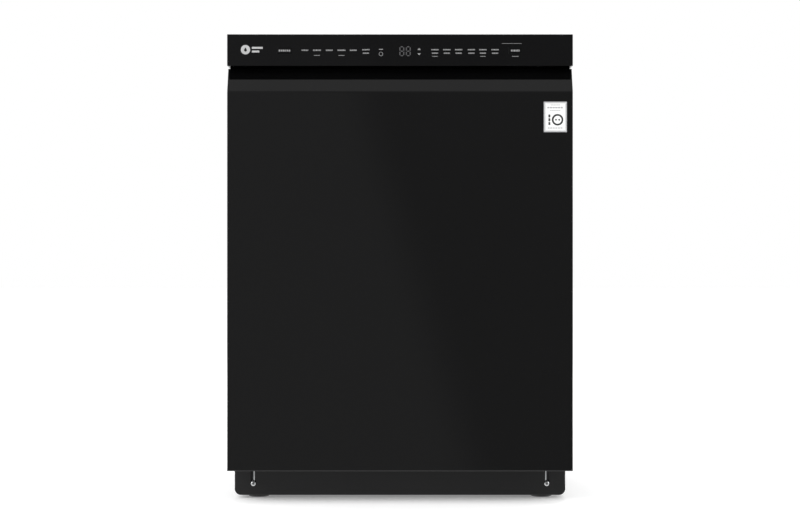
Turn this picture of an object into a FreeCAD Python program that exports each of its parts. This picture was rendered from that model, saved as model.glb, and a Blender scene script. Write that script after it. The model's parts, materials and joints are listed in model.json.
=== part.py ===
import FreeCAD, Part
import math
import os
import re

import Sketcher

# Built-in dishwasher, closed, feet screwed in. Millimetres, +Z up, front towards -Y.
# The origin is the middle of the floor under the machine. Every size below is a cell of the
# sheet "Dims", and the formulas in this file are bound to those cells.

V = FreeCAD.Vector

DIMENSIONS = {
    # whole machine
    "wide": (603, "width over the door"),
    "depth": (625, "front of the label to the end of the drain port"),
    "tall": (820, "floor to console top, feet screwed in"),
    "sheet": (1.2, "steel sheet"),
    "chassis_half": (297, "half width of the chassis behind the door"),
    # door
    "label_thick": (0.3, "paper label, the foremost surface"),
    "door_thick": (62.2, "door face to liner face"),
    "door_low": (58, "lower edge of the door"),
    "slope_foot": (720, "where the door face bends into the grip recess"),
    "slope_top": (762, "top of the sloping part"),
    "slope_in": (25, "how far the slope runs back"),
    "return_deep": (17.5, "folded lower edge of the door face"),
    "console_low": (764.8, "lower edge of the console"),
    "wall": (3, "plastic wall"),
    "lip_in": (14, "back of the console lip that the fingers hook behind"),
    "pocket_in": (38, "back wall of the grip pocket"),
    "pocket_top": (790, "ceiling of the grip pocket"),
    "hinge_in": (42.5, "hinge axis behind the front"),
    "hinge_high": (95, "hinge axis above the floor"),
    "hinge_zone": (150, "below this height the liner is narrow, to clear the hinges"),
    "pivot_r": (5, "hinge pin radius"),
    "running": (0.06, "radial clearance of a pin in its hole"),
    "key_gap": (0.3, "gap round a key"),
    "lever_r": (1.5, "latch lever pin radius"),
    "label_half": (20.2, "half width of the paper label"),
    "label_x": (270.8, "label centre"),
    "label_low": (649.2, "label lower edge"),
    "label_high": (702.4, "label upper edge"),
    # counterbalance
    "tail_arm": (21.213, "tail pin behind and above the hinge axis"),
    "tail_r": (3, "tail pin radius"),
    "rod_x": (286.5, "counterbalance rod from the middle"),
    "rod_high": (107, "counterbalance rod above the floor"),
    "rod_r": (3, "counterbalance rod radius"),
    "stop_y": (-148, "front end of the counterbalance spring"),
    "washer_y": (-26, "rear end of the counterbalance spring"),
    "coil_r": (6.5, "mean radius of the spring"),
    "coil_wire": (1, "radius of the spring wire"),
    "coil_pitch": (8.13, "spring pitch with the door shut"),
    # tub
    "tub_half": (276, "half width of the tub inside"),
    "tub_front": (-236, "front edge of the tub sheet"),
    "tub_back": (275, "rear wall of the tub, inside"),
    "tub_floor": (118, "tub floor and rack track height"),
    "tub_top": (800, "top of the tub sheet"),
    "frame_low": (134, "lower end of the front frame legs"),
    "mouth_half": (276, "half width of the tub mouth"),
    "mouth_top": (795, "top of the tub mouth"),
    "sump_y": (-20, "sump centre"),
    "sump_r": (80, "sump mouth radius"),
    "filter_y": (-44, "filter centre"),
    "filter_r": (26, "filter radius"),
    "arm_y": (20, "centre of the spray arms"),
    "spindle_r": (8, "lower spray arm spindle"),
    "arm_reach": (228, "lower spray arm tip radius"),
    # base
    "base_low": (14, "underside of the base pan"),
    "base_high": (60, "rim of the base pan"),
    "toe_back": (85, "toe panel behind the front"),
    "toe_half": (295.75, "half width of the toe panel"),
    "toe_low": (6, "toe panel lower edge"),
    "toe_high": (72, "toe panel upper edge"),
    "toe_round": (11, "toe panel lower corners"),
    "screw_x": (262.5, "toe panel screws"),
    "screw_high": (26.5, "toe panel screws above the floor"),
    "slot_half": (4.4, "half width of the toe panel slots"),
    "slot_top": (60, "upper end of the toe panel slots"),
    "foot_x": (255, "feet from the middle"),
    "foot_front": (-190, "front feet"),
    "foot_rear": (255, "rear feet"),
    "foot_r": (19, "foot pad radius"),
    "stem_r": (5, "foot stem radius"),
    "boss_r": (12, "foot boss radius"),
    "inlet_x": (-200, "water inlet from the middle"),
    "inlet_high": (42, "water inlet above the floor"),
    # racks
    "wire": (3.2, "rack wire"),
    "upper_half": (250, "half width of the upper rack"),
    "upper_front": (-208, "front of the upper rack"),
    "upper_back": (250, "back of the upper rack"),
    "upper_low": (506, "floor of the upper rack"),
    "upper_high": (618, "rim of the upper rack"),
    "lower_half": (252, "half width of the lower rack"),
    "lower_front": (-193, "front of the lower rack"),
    "lower_back": (245, "back of the lower rack"),
    "lower_low": (163, "floor of the lower rack"),
    "lower_high": (300, "rim of the lower rack"),
    "wheel_r": (15, "lower rack wheel"),
    "wheel_front": (-100, "front wheel axle"),
    "wheel_rear": (150, "rear wheel axle"),
    "wheel_x": (240, "wheel centre from the middle"),
    "rail_low": (565, "upper rail lower edge"),
    "rail_high": (591, "upper rail upper edge"),
}

doc = FreeCAD.newDocument("Dishwasher")
sheet = doc.addObject("Spreadsheet::Sheet", "Dims")
for row, (alias, (value, meaning)) in enumerate(DIMENSIONS.items(), start=1):
    sheet.set(f"A{row}", alias)
    sheet.set(f"B{row}", str(value))
    sheet.set(f"C{row}", meaning)
    sheet.setAlias(f"B{row}", alias)
doc.recompute()

NODES = {}


def size(alias):
    """A cell's value as a number."""
    return float(sheet.get(alias))


def formula(text):
    """A formula with the sheet's name put before every alias."""
    def name(found):
        word = found.group(0)
        return f"Dims.{word}" if word in DIMENSIONS else word
    return re.sub(r"[a-z_]+", name, str(text))


def node(name, part):
    """Register a finished sub-part under the name of its file."""
    part.Label = name
    NODES[name] = part
    return part


# ---------------------------------------------------------------- shapes bound to the sheet

def place(part, x=0, y=0, z=0):
    for axis, position in zip("xyz", (x, y, z)):
        part.setExpression(f".Placement.Base.{axis}", formula(position))
    return part


def block(x0, x1, y0, y1, z0, z1):
    """A box between two corners."""
    part = doc.addObject("Part::Box", "Block")
    for prop, low, high in (("Length", x0, x1), ("Width", y0, y1), ("Height", z0, z1)):
        part.setExpression(prop, formula(f"({high}) - ({low})"))
    return place(part, x0, y0, z0)


AXIS_TURN = {
    "X": FreeCAD.Rotation(V(0, 1, 0), 90),
    "Y": FreeCAD.Rotation(V(1, 0, 0), -90),
    "Z": FreeCAD.Rotation(),
}


def rod(radius, axis, x, y, z, length):
    """A cylinder from a point along an axis."""
    part = doc.addObject("Part::Cylinder", "Rod")
    part.Placement = FreeCAD.Placement(V(), AXIS_TURN[axis])
    part.setExpression("Radius", formula(radius))
    part.setExpression("Height", formula(length))
    return place(part, x, y, z)


def fuse(*parts):
    part = doc.addObject("Part::MultiFuse", "Fuse")
    part.Shapes = list(parts)
    part.Refine = True
    return part


def group(*parts):
    """Several separate solids in one object."""
    part = doc.addObject("Part::Compound", "Group")
    part.Links = list(parts)
    return part


def cut(base, *tools):
    part = doc.addObject("Part::Cut", "Cut")
    part.Base = base
    part.Tool = tools[0] if len(tools) == 1 else fuse(*tools)
    return part


def mirrored(source):
    """The same piece on the other side of the machine's middle plane."""
    part = doc.addObject("Part::Mirroring", "Mirror")
    part.Source = source
    part.Normal = V(1, 0, 0)
    return part


def pair(source):
    return group(source, mirrored(source))


def sketch(body, plane, corners):
    """A closed outline whose corners are formulas, on one of the body's own planes."""
    part = body.newObject("Sketcher::SketchObject", "Sketch")
    origin_plane = [f for f in body.Origin.OriginFeatures if f.Role == f"{plane}_Plane"][0]
    part.AttachmentSupport = [(origin_plane, "")]
    part.MapMode = "FlatFace"
    count = len(corners)
    turn = 2 * math.pi / count
    start = [V(50 * math.cos(turn * i), 50 * math.sin(turn * i), 0) for i in range(count)]
    for i in range(count):
        part.addGeometry(Part.LineSegment(start[i], start[(i + 1) % count]), False)
    for i in range(count):
        part.addConstraint(Sketcher.Constraint("Coincident", i, 2, (i + 1) % count, 1))
    for i, corner in enumerate(corners):
        for kind, position in zip(("DistanceX", "DistanceY"), corner):
            index = part.addConstraint(Sketcher.Constraint(kind, -1, 1, i, 1, 1.0))
            part.setExpression(f"Constraints[{index}]", formula(position))
    return part


def extrude(plane, corners, low, high):
    """A body padded from an outline, between two positions along the plane's normal axis."""
    body = doc.addObject("PartDesign::Body", "Body")
    pad = body.newObject("PartDesign::Pad", "Pad")
    pad.Profile = sketch(body, plane, corners)
    pad.setExpression("Length", formula(f"({high}) - ({low})"))
    if plane == "XZ":
        return place(body, y=high)
    return place(body, x=low) if plane == "YZ" else place(body, z=low)


def revolve(corners, x=0, y=0, z=0):
    """A body turned about its own vertical axis from an outline of (radius, height)."""
    body = doc.addObject("PartDesign::Body", "Body")
    outline = sketch(body, "XZ", corners)
    turned = body.newObject("PartDesign::Revolution", "Revolution")
    turned.Profile = outline
    turned.ReferenceAxis = (outline, ["V_Axis"])
    turned.Angle = 360
    return place(body, x, y, z)


def round_edges(body, radius, wanted):
    """Fillet the edges of a body's last feature whose middle point passes a test."""
    base = body.Tip
    doc.recompute()
    edges = base.Shape.Edges
    names = [f"Edge{i + 1}" for i, edge in enumerate(edges) if wanted(edge, edge.CenterOfMass)]
    part = body.newObject("PartDesign::Fillet", "Fillet")
    part.Base = (base, names)
    part.setExpression("Radius", formula(radius))
    return body


def wire_grid(plane, across, up, cells_across, cells_up):
    """A flat welded grid of square wires, centred across, standing or lying on its plane."""
    body = doc.addObject("PartDesign::Body", "Grid")
    pad = body.newObject("PartDesign::Pad", "Pad")
    half = f"({across})/2"
    pad.Profile = sketch(body, plane, [(f"-{half}", 0), (half, 0), (half, up), (f"-{half}", up)])
    pad.setExpression("Length", formula("wire"))
    step_across = f"(({across} - wire)/{cells_across})"
    step_up = f"(({up} - wire)/{cells_up})"
    left, right = f"-{half} + wire", f"-{half} + {step_across}"
    cell = sketch(body, plane, [(left, "wire"), (right, "wire"), (right, step_up), (left, step_up)])
    pocket = body.newObject("PartDesign::Pocket", "Cell")
    pocket.Profile = cell
    pocket.Type = "ThroughAll"
    pocket.Midplane = True
    transform = body.newObject("PartDesign::MultiTransform", "Cells")
    transform.Originals = [pocket]
    patterns = []
    for axis, step, count in (("H_Axis", step_across, cells_across), ("V_Axis", step_up, cells_up)):
        if count < 2:
            continue
        pattern = body.newObject("PartDesign::LinearPattern", "Row")
        pattern.Direction = (cell, [axis])
        pattern.setExpression("Length", formula(f"{step}*({count} - 1)"))
        pattern.Occurrences = count
        patterns.append(pattern)
    transform.Transformations = patterns
    body.Tip = transform
    return body


# ---------------------------------------------------------------- reference positions

FRONT = "(-depth/2)"
FACE = "(-depth/2 + label_thick)"
LINER = "(-depth/2 + label_thick + door_thick)"
BACK = "(depth/2)"
HALF = "(wide/2)"
HINGE_Y = "(-depth/2 + hinge_in)"
TAIL_Y = "(-depth/2 + hinge_in + tail_arm)"
TAIL_Z = "(hinge_high + tail_arm)"
TOE_Y = "(-depth/2 + toe_back)"


def behind(distance):
    """A position this far behind the door's face."""
    return f"({FACE} + {distance})"


# ---------------------------------------------------------------- door

def door_outer_panel():
    face = extrude("YZ", [
        (FACE, "door_low"),
        (FACE, "slope_foot"),
        (behind("slope_in"), "slope_top"),
        (behind("slope_in + 0.84*sheet"), "slope_top - 0.54*sheet"),
        (behind("sheet"), "slope_foot - 0.3*sheet"),
        (behind("sheet"), "door_low + sheet"),
        (behind("return_deep"), "door_low + sheet"),
        (behind("return_deep"), "door_low"),
    ], f"-{HALF}", HALF)
    side = extrude("YZ", [
        (FACE, "door_low"),
        (FACE, "slope_foot"),
        (behind("slope_in"), "slope_top"),
        (behind("door_thick - 8"), "slope_top"),
        (behind("door_thick - 8"), "door_low"),
    ], f"{HALF} - sheet", HALF)
    return fuse(face, side, mirrored(side))


def handle_pocket():
    return extrude("YZ", [
        (behind("slope_in + 1.2"), "slope_top + 0.4"),
        (behind("pocket_in"), "slope_top + 14"),
        (behind("pocket_in"), "pocket_top"),
        (behind("lip_in + 0.5"), "pocket_top"),
        (behind("lip_in + 0.5"), "pocket_top + 2"),
        (behind("pocket_in + 2"), "pocket_top + 2"),
        (behind("pocket_in + 2"), "slope_top + 13.6"),
        (behind("slope_in + 3.2"), "slope_top - 0.4"),
    ], f"-{HALF} + wall + 0.2", f"{HALF} - wall - 0.2")


KEYS = {"power_key": ("-213.5", "-189.5"), "start_key": ("190.5", "211.5")}
KEY_LOW, KEY_HIGH = "786.6", "796.2"


def key_hole(name):
    left, right = KEYS[name]
    return block(f"{left} - key_gap", f"{right} + key_gap", behind("-1"), behind("wall + 1"),
                 f"{KEY_LOW} - key_gap", f"{KEY_HIGH} + key_gap")


def control_panel():
    inner = f"{HALF} - wall"
    deep = behind("door_thick - 2.5")
    front = block(f"-{HALF}", HALF, FACE, behind("wall"), "console_low", "tall")
    top = block(f"-{HALF}", HALF, FACE, deep, "tall - wall", "tall")
    lip = block(f"-{HALF}", HALF, FACE, behind("lip_in"), "console_low", "console_low + 2.5")
    hook = block(f"-{HALF}", HALF, behind("lip_in - 2"), behind("lip_in"), "console_low",
                 "pocket_top - 0.5")
    end = block(inner, HALF, FACE, deep, "console_low", "tall")
    shell = fuse(front, top, lip, hook, end, mirrored(end))
    return cut(shell, key_hole("power_key"), key_hole("start_key"))


def key(name):
    """A flush key cap with a plunger behind it."""
    left, right = KEYS[name]
    middle = f"({left} + {right})/2"
    cap = block(left, right, FACE, behind("5"), KEY_LOW, KEY_HIGH)
    plunger = rod("2", "Y", middle, behind("5"), "791.4", "1.6")
    return fuse(cap, plunger)


def control_board():
    board = block("-225", "225", behind("9.6"), behind("11.2"), "770", "812")
    switches = [block(f"{x} - 4", f"{x} + 4", behind("8.2"), behind("9.6"), "787.4", "795.4")
                for x in (-201.5, 201)]
    digits = block("-12", "29", behind("3.3"), behind("9.6"), "777", "804")
    return fuse(board, digits, *switches)


DISPENSER = ("-25", "155", "360", "515")
CUP = ("-10", "62", "420", "503")
VENT_X, VENT_Z, VENT_R = "-180", "640", "34"
CAP_X, CAP_Z, CAP_R = "108", "390", "17"
BUTTON = ("5", "35", "380", "396")


def door_inner_liner():
    edge = f"{HALF} - 2.5"
    skin = behind("door_thick - sheet")
    upper = block(f"-({edge})", edge, skin, LINER, "hinge_zone", "tall - 8")
    lower = block("-272", "272", skin, LINER, "door_low + 6", "hinge_zone")
    side = block(f"{edge} - sheet", edge, behind("34"), LINER, "hinge_zone", "console_low - 4")
    left, right, low, high = DISPENSER
    opening = block(f"{left} - 0.2", f"{right} + 0.2", behind("door_thick - 9"), behind("door_thick + 9"),
                    f"{low} - 0.2", f"{high} + 0.2")
    vent = rod(f"{VENT_R} + 0.2", "Y", VENT_X, behind("door_thick - 9"), VENT_Z, "18")
    latch = block("-34.2", "34.2", behind("door_thick - 9"), behind("door_thick + 9"), "792.8", "tall")
    return cut(fuse(upper, lower, side, mirrored(side)), opening, vent, latch)


def hinge_arms():
    """Steel arms inside the door, with the tail pin that pulls the counterbalance."""
    plate = fuse(
        block("276", "279", f"{HINGE_Y} - 14", f"{HINGE_Y} + 14", "hinge_high - 14", "330"),
        block("276", "279", f"{HINGE_Y} + 14", f"{HINGE_Y} + 28", "hinge_high + 9", "hinge_high + 29"))
    tail = rod("tail_r", "X", "276", TAIL_Y, TAIL_Z, "13")
    hole = rod("pivot_r + running", "X", "275", HINGE_Y, "hinge_high", "5")
    return pair(cut(fuse(plate, tail), hole))


def latch_housing():
    body = block("-34", "34", behind("34"), behind("door_thick - 0.4"), "793", "815")
    throat = block("-12", "12", behind("40"), behind("door_thick + 1"), "799", "812.5")
    pin_hole = rod("lever_r + running", "X", "-18", behind("44"), "808", "36")
    return cut(body, throat, pin_hole)


def latch_lever():
    bar = block("-8", "8", behind("42"), behind("58"), "807", "809.4")
    pin = rod("lever_r", "X", "-17", behind("44"), "808", "34")
    return fuse(bar, pin)


def dispenser_body():
    left, right, low, high = DISPENSER
    cup_left, cup_right, cup_low, cup_high = CUP
    button_left, button_right, button_low, button_high = BUTTON
    case = block(left, right, behind("door_thick - 22"), behind("door_thick + 7"), low, high)
    cup = block(cup_left, cup_right, behind("door_thick - 18"), behind("door_thick + 8"), cup_low, cup_high)
    seat = rod(f"{CAP_R} + 0.4", "Y", CAP_X, behind("door_thick + 1"), CAP_Z, "7")
    well = block(f"{button_left} - 0.3", f"{button_right} + 0.3", behind("door_thick - 6"),
                 behind("door_thick + 8"), f"{button_low} - 0.3", f"{button_high} + 0.3")
    return cut(case, cup, seat, well)


def detergent_lid():
    left, right, low, high = CUP
    plate = block(f"{left} - 3", f"{right} + 3", behind("door_thick + 7.3"), behind("door_thick + 10.3"),
                  f"{low} - 3", f"{high} + 3")
    ridge = block(f"{left} + 4", f"{left} + 8", behind("door_thick + 10.3"), behind("door_thick + 13"),
                  f"{low} + 10", f"{high} - 10")
    return fuse(plate, ridge)


def rinse_cap():
    disc = rod(CAP_R, "Y", CAP_X, behind("door_thick + 1.4"), CAP_Z, "7")
    grip = block(f"{CAP_X} - 13", f"{CAP_X} + 13", behind("door_thick + 8.4"), behind("door_thick + 12"),
                 f"{CAP_Z} - 2", f"{CAP_Z} + 2")
    return fuse(disc, grip)


def dispenser_button():
    left, right, low, high = BUTTON
    return block(left, right, behind("door_thick - 1"), behind("door_thick + 9"), low, high)


def door_vent():
    flange = rod(f"{VENT_R} + 5", "Y", VENT_X, LINER, VENT_Z, "3")
    spigot = rod(VENT_R, "Y", VENT_X, behind("door_thick - 14"), VENT_Z, "14")
    slots = [block(f"{VENT_X} - 24", f"{VENT_X} + 24", behind("door_thick - 15"), behind("door_thick + 4"),
                   f"{VENT_Z} + {z} - 3", f"{VENT_Z} + {z} + 3") for z in (-18, -6, 6, 18)]
    return cut(fuse(flange, spigot), *slots)


def door_bottom_seal():
    return block("-226", "226", LINER, f"{LINER} + 2", "121", "127")


def door_screws():
    heads = [rod("3.5", "Y", f"{side}*290", LINER, z, "1.8")
             for side in (-1, 1) for z in (200, 330, 460, 590, 720)]
    return group(*heads)


def front_label():
    return block("label_x - label_half", "label_x + label_half", FRONT, FACE, "label_low", "label_high")


# ---------------------------------------------------------------- base and chassis

FEET = {"foot_front_left": (-1, "foot_front"), "foot_front_right": (1, "foot_front"),
        "foot_rear_left": (-1, "foot_rear"), "foot_rear_right": (1, "foot_rear")}


def base_pan():
    outer = block("-chassis_half + 1", "chassis_half - 1", f"{TOE_Y} + 5.5", "300", "base_low", "base_high")
    inner = block("-chassis_half + 1 + wall", "chassis_half - 1 - wall", f"{TOE_Y} + 5.5 + wall",
                  "300 - wall", "base_low + wall", "base_high + 1")
    bosses = [rod("boss_r", "Z", f"{side}*foot_x", y, "base_low", "36") for side, y in FEET.values()]
    bores = [rod("stem_r + running", "Z", f"{side}*foot_x", y, "base_low - 1", "38")
             for side, y in FEET.values()]
    holes = [rod("2.1", "Y", f"{side}*screw_x", TOE_Y, "screw_high", "20") for side in (-1, 1)]
    hose_notch = block("inlet_x - 22", "inlet_x + 22", "300 - wall - 1", "301", "inlet_high - 22",
                       "base_high + 1")
    return cut(fuse(cut(outer, inner), *bosses), *bores, *holes, hose_notch)


def foot(side, y):
    """A threaded foot: pad, hexagon and stem."""
    return revolve([(0, 0), ("foot_r - 1.5", 0), ("foot_r", 1.5), ("foot_r", 5), ("stem_r + 4", 8),
                    ("stem_r + 4", 12), ("stem_r", 12), ("stem_r", 88), ("stem_r - 2", 90), (0, 90)],
                   f"{side}*foot_x", y)


def chassis_frame():
    """Four corner posts, two top rails and the rear crossbar."""
    front_post = extrude("YZ", [
        ("tub_front + 12", "base_high"), ("tub_front + 12", "frame_low"), ("tub_front + 0.1", "frame_low"),
        ("tub_front + 0.1", "tall - 8"), ("tub_front + 34", "tall - 8"), ("tub_front + 34", "base_high")],
        "chassis_half - 7", "chassis_half")
    rear_post = block("chassis_half - 27", "chassis_half", "293", "305", "base_high", "tub_top - 0.5")
    rail = block("chassis_half - 7", "chassis_half", "tub_front + 34.2", "292.8", "tub_top", "tall - 8")
    crossbar = block("-chassis_half", "chassis_half", "293", "305", "tub_top", "tall - 8")
    return group(front_post, mirrored(front_post), rear_post, mirrored(rear_post), rail,
                 mirrored(rail), crossbar)


def toe_panel():
    plate = extrude("XZ", [("-toe_half", "toe_low"), ("toe_half", "toe_low"), ("toe_half", "toe_high"),
                           ("-toe_half", "toe_high")], TOE_Y, f"{TOE_Y} + 2")
    round_edges(plate, "toe_round", lambda edge, at: abs(at.z - size("toe_low")) < 1
                and abs(abs(at.x) - size("toe_half")) < 1 and edge.Length < 5)
    slots = []
    for side in (-1, 1):
        slots.append(block(f"{side}*screw_x - slot_half", f"{side}*screw_x + slot_half", f"{TOE_Y} - 1",
                           f"{TOE_Y} + 3", "screw_high", "slot_top"))
        slots.append(rod("slot_half", "Y", f"{side}*screw_x", f"{TOE_Y} - 1", "screw_high", "4"))
    return cut(plate, *slots)


def toe_screws():
    head = rod("4.6", "Y", "screw_x", f"{TOE_Y} - 2.6", "screw_high", "2.4")
    shank = rod("2.04", "Y", "screw_x", f"{TOE_Y} - 0.3", "screw_high", "14")
    return pair(fuse(head, shank))


def countertop_brackets():
    """Screw tabs that hold the machine under the worktop, with a riser on the tub frame."""
    tab = block("180", "220", "-230", "-195", "816", "817.5")
    riser = block("180", "220", "-246.8", "-230", "tall - 7.9", "817.5")
    hole = rod("2.25", "Z", "200", "-212.5", "815", "4")
    return pair(cut(fuse(tab, riser), hole))


def hinge_brackets():
    """Base brackets with the fixed hinge pins, and the stops for the counterbalance springs."""
    arm = block("281", "283", f"{HINGE_Y} - 10", "-190", "hinge_high - 15", "hinge_high + 16")
    leg = block("281", "283", "-218.5", "-190", "base_low + wall", "hinge_high + 16")
    sole = block("281", "292", "-218.5", "-190", "base_low + wall", "base_low + wall + 2")
    pin = rod("pivot_r", "X", "273", HINGE_Y, "hinge_high", "10")
    stop = block("279", "292", "stop_y - 4", "stop_y", "base_low + wall", "rod_high + 12")
    eye = rod("rod_r + 0.3", "Y", "rod_x", "stop_y - 5", "rod_high", "6")
    return group(fuse(arm, leg, sole, pin), mirrored(fuse(arm, leg, sole, pin)), cut(stop, eye),
                 mirrored(cut(stop, eye)))


def spring_rods():
    """Slotted yokes driven by the hinge tails, each with its rod and rear washer."""
    yoke = block("285", "288", f"{TAIL_Y} - 10", f"{TAIL_Y} + 10", "rod_high - 3", "hinge_high + 37.5")
    slot = block("284", "289", f"{TAIL_Y} - tail_r - 1.2", f"{TAIL_Y} + tail_r + 1.2", "hinge_high + 17.4",
                 "hinge_high + 33.6")
    shaft = rod("rod_r", "Y", "rod_x", f"{TAIL_Y} + 9", "rod_high", f"washer_y + 5 - ({TAIL_Y} + 9)")
    washer = rod("8.5", "Y", "rod_x", "washer_y", "rod_high", "4")
    return pair(fuse(cut(yoke, slot), shaft, washer))


def coil(length, pitch, radius, wire_radius):
    """A round-wire compression spring along +Y."""
    spine = Part.makeHelix(pitch, length, radius)
    section = Part.Wire(Part.Circle(V(radius, 0, 0), V(0, 1, 0), wire_radius).toShape())
    spring = Part.Wire(spine).makePipeShell([section], True, True)
    spring.rotate(V(0, 0, 0), V(1, 0, 0), -90)
    return spring


def springs():
    gap = size("coil_wire") + 0.1
    length = size("washer_y") - size("stop_y") - 2 * gap
    spring = coil(length, size("coil_pitch"), size("coil_r"), size("coil_wire"))
    right = doc.addObject("Part::Feature", "Coil")
    right.Shape = spring
    place(right, "rod_x", f"stop_y + {gap}", "rod_high")
    return pair(right)


def junction_box():
    box = block("190", "262", "-170", "-110", "base_low + wall", "82")
    inside = block("192", "260", "-168", "-111.5", "base_low + wall + 2", "80")
    gland = rod("11.1", "Y", "226", "-112.5", "50", "4")
    return cut(box, inside, gland)


def inlet_valve():
    """Solenoid valve with a male hose thread towards the rear notch of the base pan."""
    body = block("inlet_x - 22", "inlet_x + 22", "225", "262", "base_low + wall", "inlet_high + 20")
    coil_case = rod("13", "Z", "inlet_x", "243.5", "inlet_high + 20", "36")
    flange = rod("17", "Y", "inlet_x", "262", "inlet_high", "4")
    thread = rod("13.2", "Y", "inlet_x", "266", "inlet_high", "16")
    return fuse(body, coil_case, flange, thread)


def drain_port():
    plate = block("188", "232", "300", "302.5", "18", "56")
    barb = rod("9.5", "Y", "210", "302.5", "37", f"{BACK} - 302.5")
    return cut(fuse(plate, barb), rod("7.5", "Y", "210", "301", "37", "15"))


# ---------------------------------------------------------------- tub and its fittings

def tub_shell():
    """The wrapped sides and top, and the rear wall."""
    outer = "tub_half + sheet"
    side = block("tub_half", outer, "tub_front", "tub_back", "tub_floor", "tub_top")
    top = block(f"-({outer})", outer, "tub_front", "tub_back", "tub_top - sheet", "tub_top")
    rear = block(f"-({outer})", outer, "tub_back", "tub_back + sheet", "tub_floor", "tub_top")
    return fuse(side, mirrored(side), top, rear)


def tub_floor():
    outer = "tub_half + sheet"
    floor = block(f"-({outer})", outer, "tub_front", "tub_back + sheet", "tub_floor - sheet", "tub_floor")
    lip = block("-274", "274", "tub_front - 11", "tub_front", "tub_floor - sheet", "tub_floor")
    sump_hole = rod("sump_r + 0.5", "Z", 0, "sump_y", "tub_floor - 5", "10")
    float_hole = rod("4.6", "Z", "-190", "-170", "tub_floor - 5", "10")
    return cut(fuse(floor, lip), sump_hole, float_hole)


def tub_front_frame():
    """Flanged frame round the tub mouth, with the strike that the door latch grips."""
    plate = block("-chassis_half", "chassis_half", "tub_front - 11", "tub_front", "frame_low", "tall - 8")
    mouth = block("-mouth_half", "mouth_half", "tub_front - 12", "tub_front + 1", "frame_low - 1",
                  "mouth_top")
    tongue = block("-8", "8", "tub_front - 26", "tub_front - 11", "803", "806")
    return fuse(cut(plate, mouth), tongue)


def door_seal():
    outer = block("-285", "285", f"{LINER} + 0.3", "tub_front - 11", "frame_low", "tall - 20")
    inner = block("-275", "275", f"{LINER} - 1", "tub_front - 10", "frame_low - 1", "tall - 28")
    gap = block("-12", "12", f"{LINER} - 1", "tub_front - 10", "tall - 19", "tall - 12")
    return cut(cut(outer, inner), gap)


def insulation_blanket():
    side = block("289.8", "chassis_half", "-200", "292", "142", "tub_top - 1")
    top = block("-289", "289", "-200", "277", "tub_top + 2", "tall - 9")
    rear = block("-289", "289", "279", "291", "142", "tub_top - 1")
    return group(side, mirrored(side), top, rear)


def sump():
    return revolve([
        (0, 38), (58, 38), (58, 72), ("sump_r + 3", 86), ("sump_r + 3", 113), ("sump_r + 12", 113),
        ("sump_r + 12", "tub_floor - sheet"), ("sump_r", "tub_floor - sheet"), ("sump_r", 88), (55, 74),
        (55, 41), (0, 41)], 0, "sump_y")


def filter_plate():
    plate = rod("sump_r - 0.4", "Z", 0, "sump_y", "112", "2")
    return cut(plate, rod("filter_r + 0.5", "Z", 0, "filter_y", "110", "6"),
               rod("14.5", "Z", 0, "arm_y", "110", "6"))


def filter_cylinder():
    """Fine filter cup with a turning bar on its rim."""
    cup = revolve([("filter_r - 2.4", 62), ("filter_r", 62), ("filter_r", 114.2), ("filter_r + 5", 114.2),
                   ("filter_r + 5", 116.4), ("filter_r - 2.4", 116.4)], 0, "filter_y")
    bar = block("-filter_r + 1", "filter_r - 1", "filter_y - 2.5", "filter_y + 2.5", "116.4", "128")
    return fuse(cup, bar)


def lower_arm_hub():
    """Riser from the sump with the spindle that the lower spray arm turns on."""
    return revolve([(0, 44), (14, 44), (14, 130), ("spindle_r", 130), ("spindle_r", 151), (13, 151),
                    (13, 154), (9, 158), (0, 158)], 0, "arm_y")


def spray_arm(reach, short_reach, low, thick, hub_radius, bore):
    """Two long and two short blades on a hub, flat underneath."""
    blades = []
    for along, tip in (("X", reach), ("Y", short_reach)):
        outline = [(f"-({tip})", -14), (f"-({tip}) + 14", -19), ("-30", -26), ("30", -26),
                   (f"{tip} - 14", -19), (tip, -14), (tip, 14), (f"{tip} - 14", 19), ("30", 26),
                   ("-30", 26), (f"-({tip}) + 14", 19), (f"-({tip})", 14)]
        if along == "Y":
            outline = [(f"-({across})", run) for run, across in outline]
        blades.append(place(extrude("XY", outline, low, f"{low} + {thick}"), 0, "arm_y", low))
    hub = rod(hub_radius, "Z", 0, "arm_y", f"{low} - 3", f"{thick} + 6")
    hole = rod(bore, "Z", 0, "arm_y", f"{low} - 5", f"{thick} + 10")
    return cut(fuse(*blades, hub), hole)


def circulation_pump():
    motor = rod("34", "X", "92", "75", "62", "100")
    volute = rod("40", "X", "62", "75", "62", "30")
    elbow = rod("13", "Y", "30", "37", "62", "52")
    neck = rod("12", "X", "30", "75", "62", "40")
    leg = block("110", "170", "55", "95", "base_low + wall", "40")
    return fuse(motor, volute, elbow, neck, leg)


def drain_pump():
    motor = rod("20", "X", "-170", "-60", "58", "66")
    head = rod("24", "X", "-104", "-60", "58", "20")
    neck = cut(rod("9", "X", "-86", "-60", "58", "50"), rod("58.3", "Z", 0, "sump_y", "30", "60"))
    leg = block("-160", "-120", "-72", "-48", "base_low + wall", "46")
    return fuse(motor, head, neck, leg)


def feed_pipe():
    """Water pipe up the rear wall with the docking cup for the upper arm."""
    pipe = block("-15", "15", "262", "tub_back - 0.1", "tub_floor + 0.1", "540")
    cup = rod("14", "Y", 0, "256", "496", "8")
    return cut(fuse(pipe, cup), rod("9", "Y", 0, "255", "496", "12"))


def float_cap():
    return revolve([(0, 96), (4, 96), (4, 120), (18, 120), (21, 124), (21, 140), (14, 147), (0, 147)],
                   "-190", "-170")


# ---------------------------------------------------------------- racks

def upper_rails():
    """Fixed channels on the tub walls."""
    outer = "tub_half - 0.1"
    web = block("tub_half - 1.6", outer, "-205", "255", "rail_low", "rail_high")
    flanges = [block("266", outer, "-205", "255", z, f"{z} + 1.3") for z in ("rail_low", "rail_high - 1.3")]
    return pair(fuse(web, *flanges))


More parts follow.
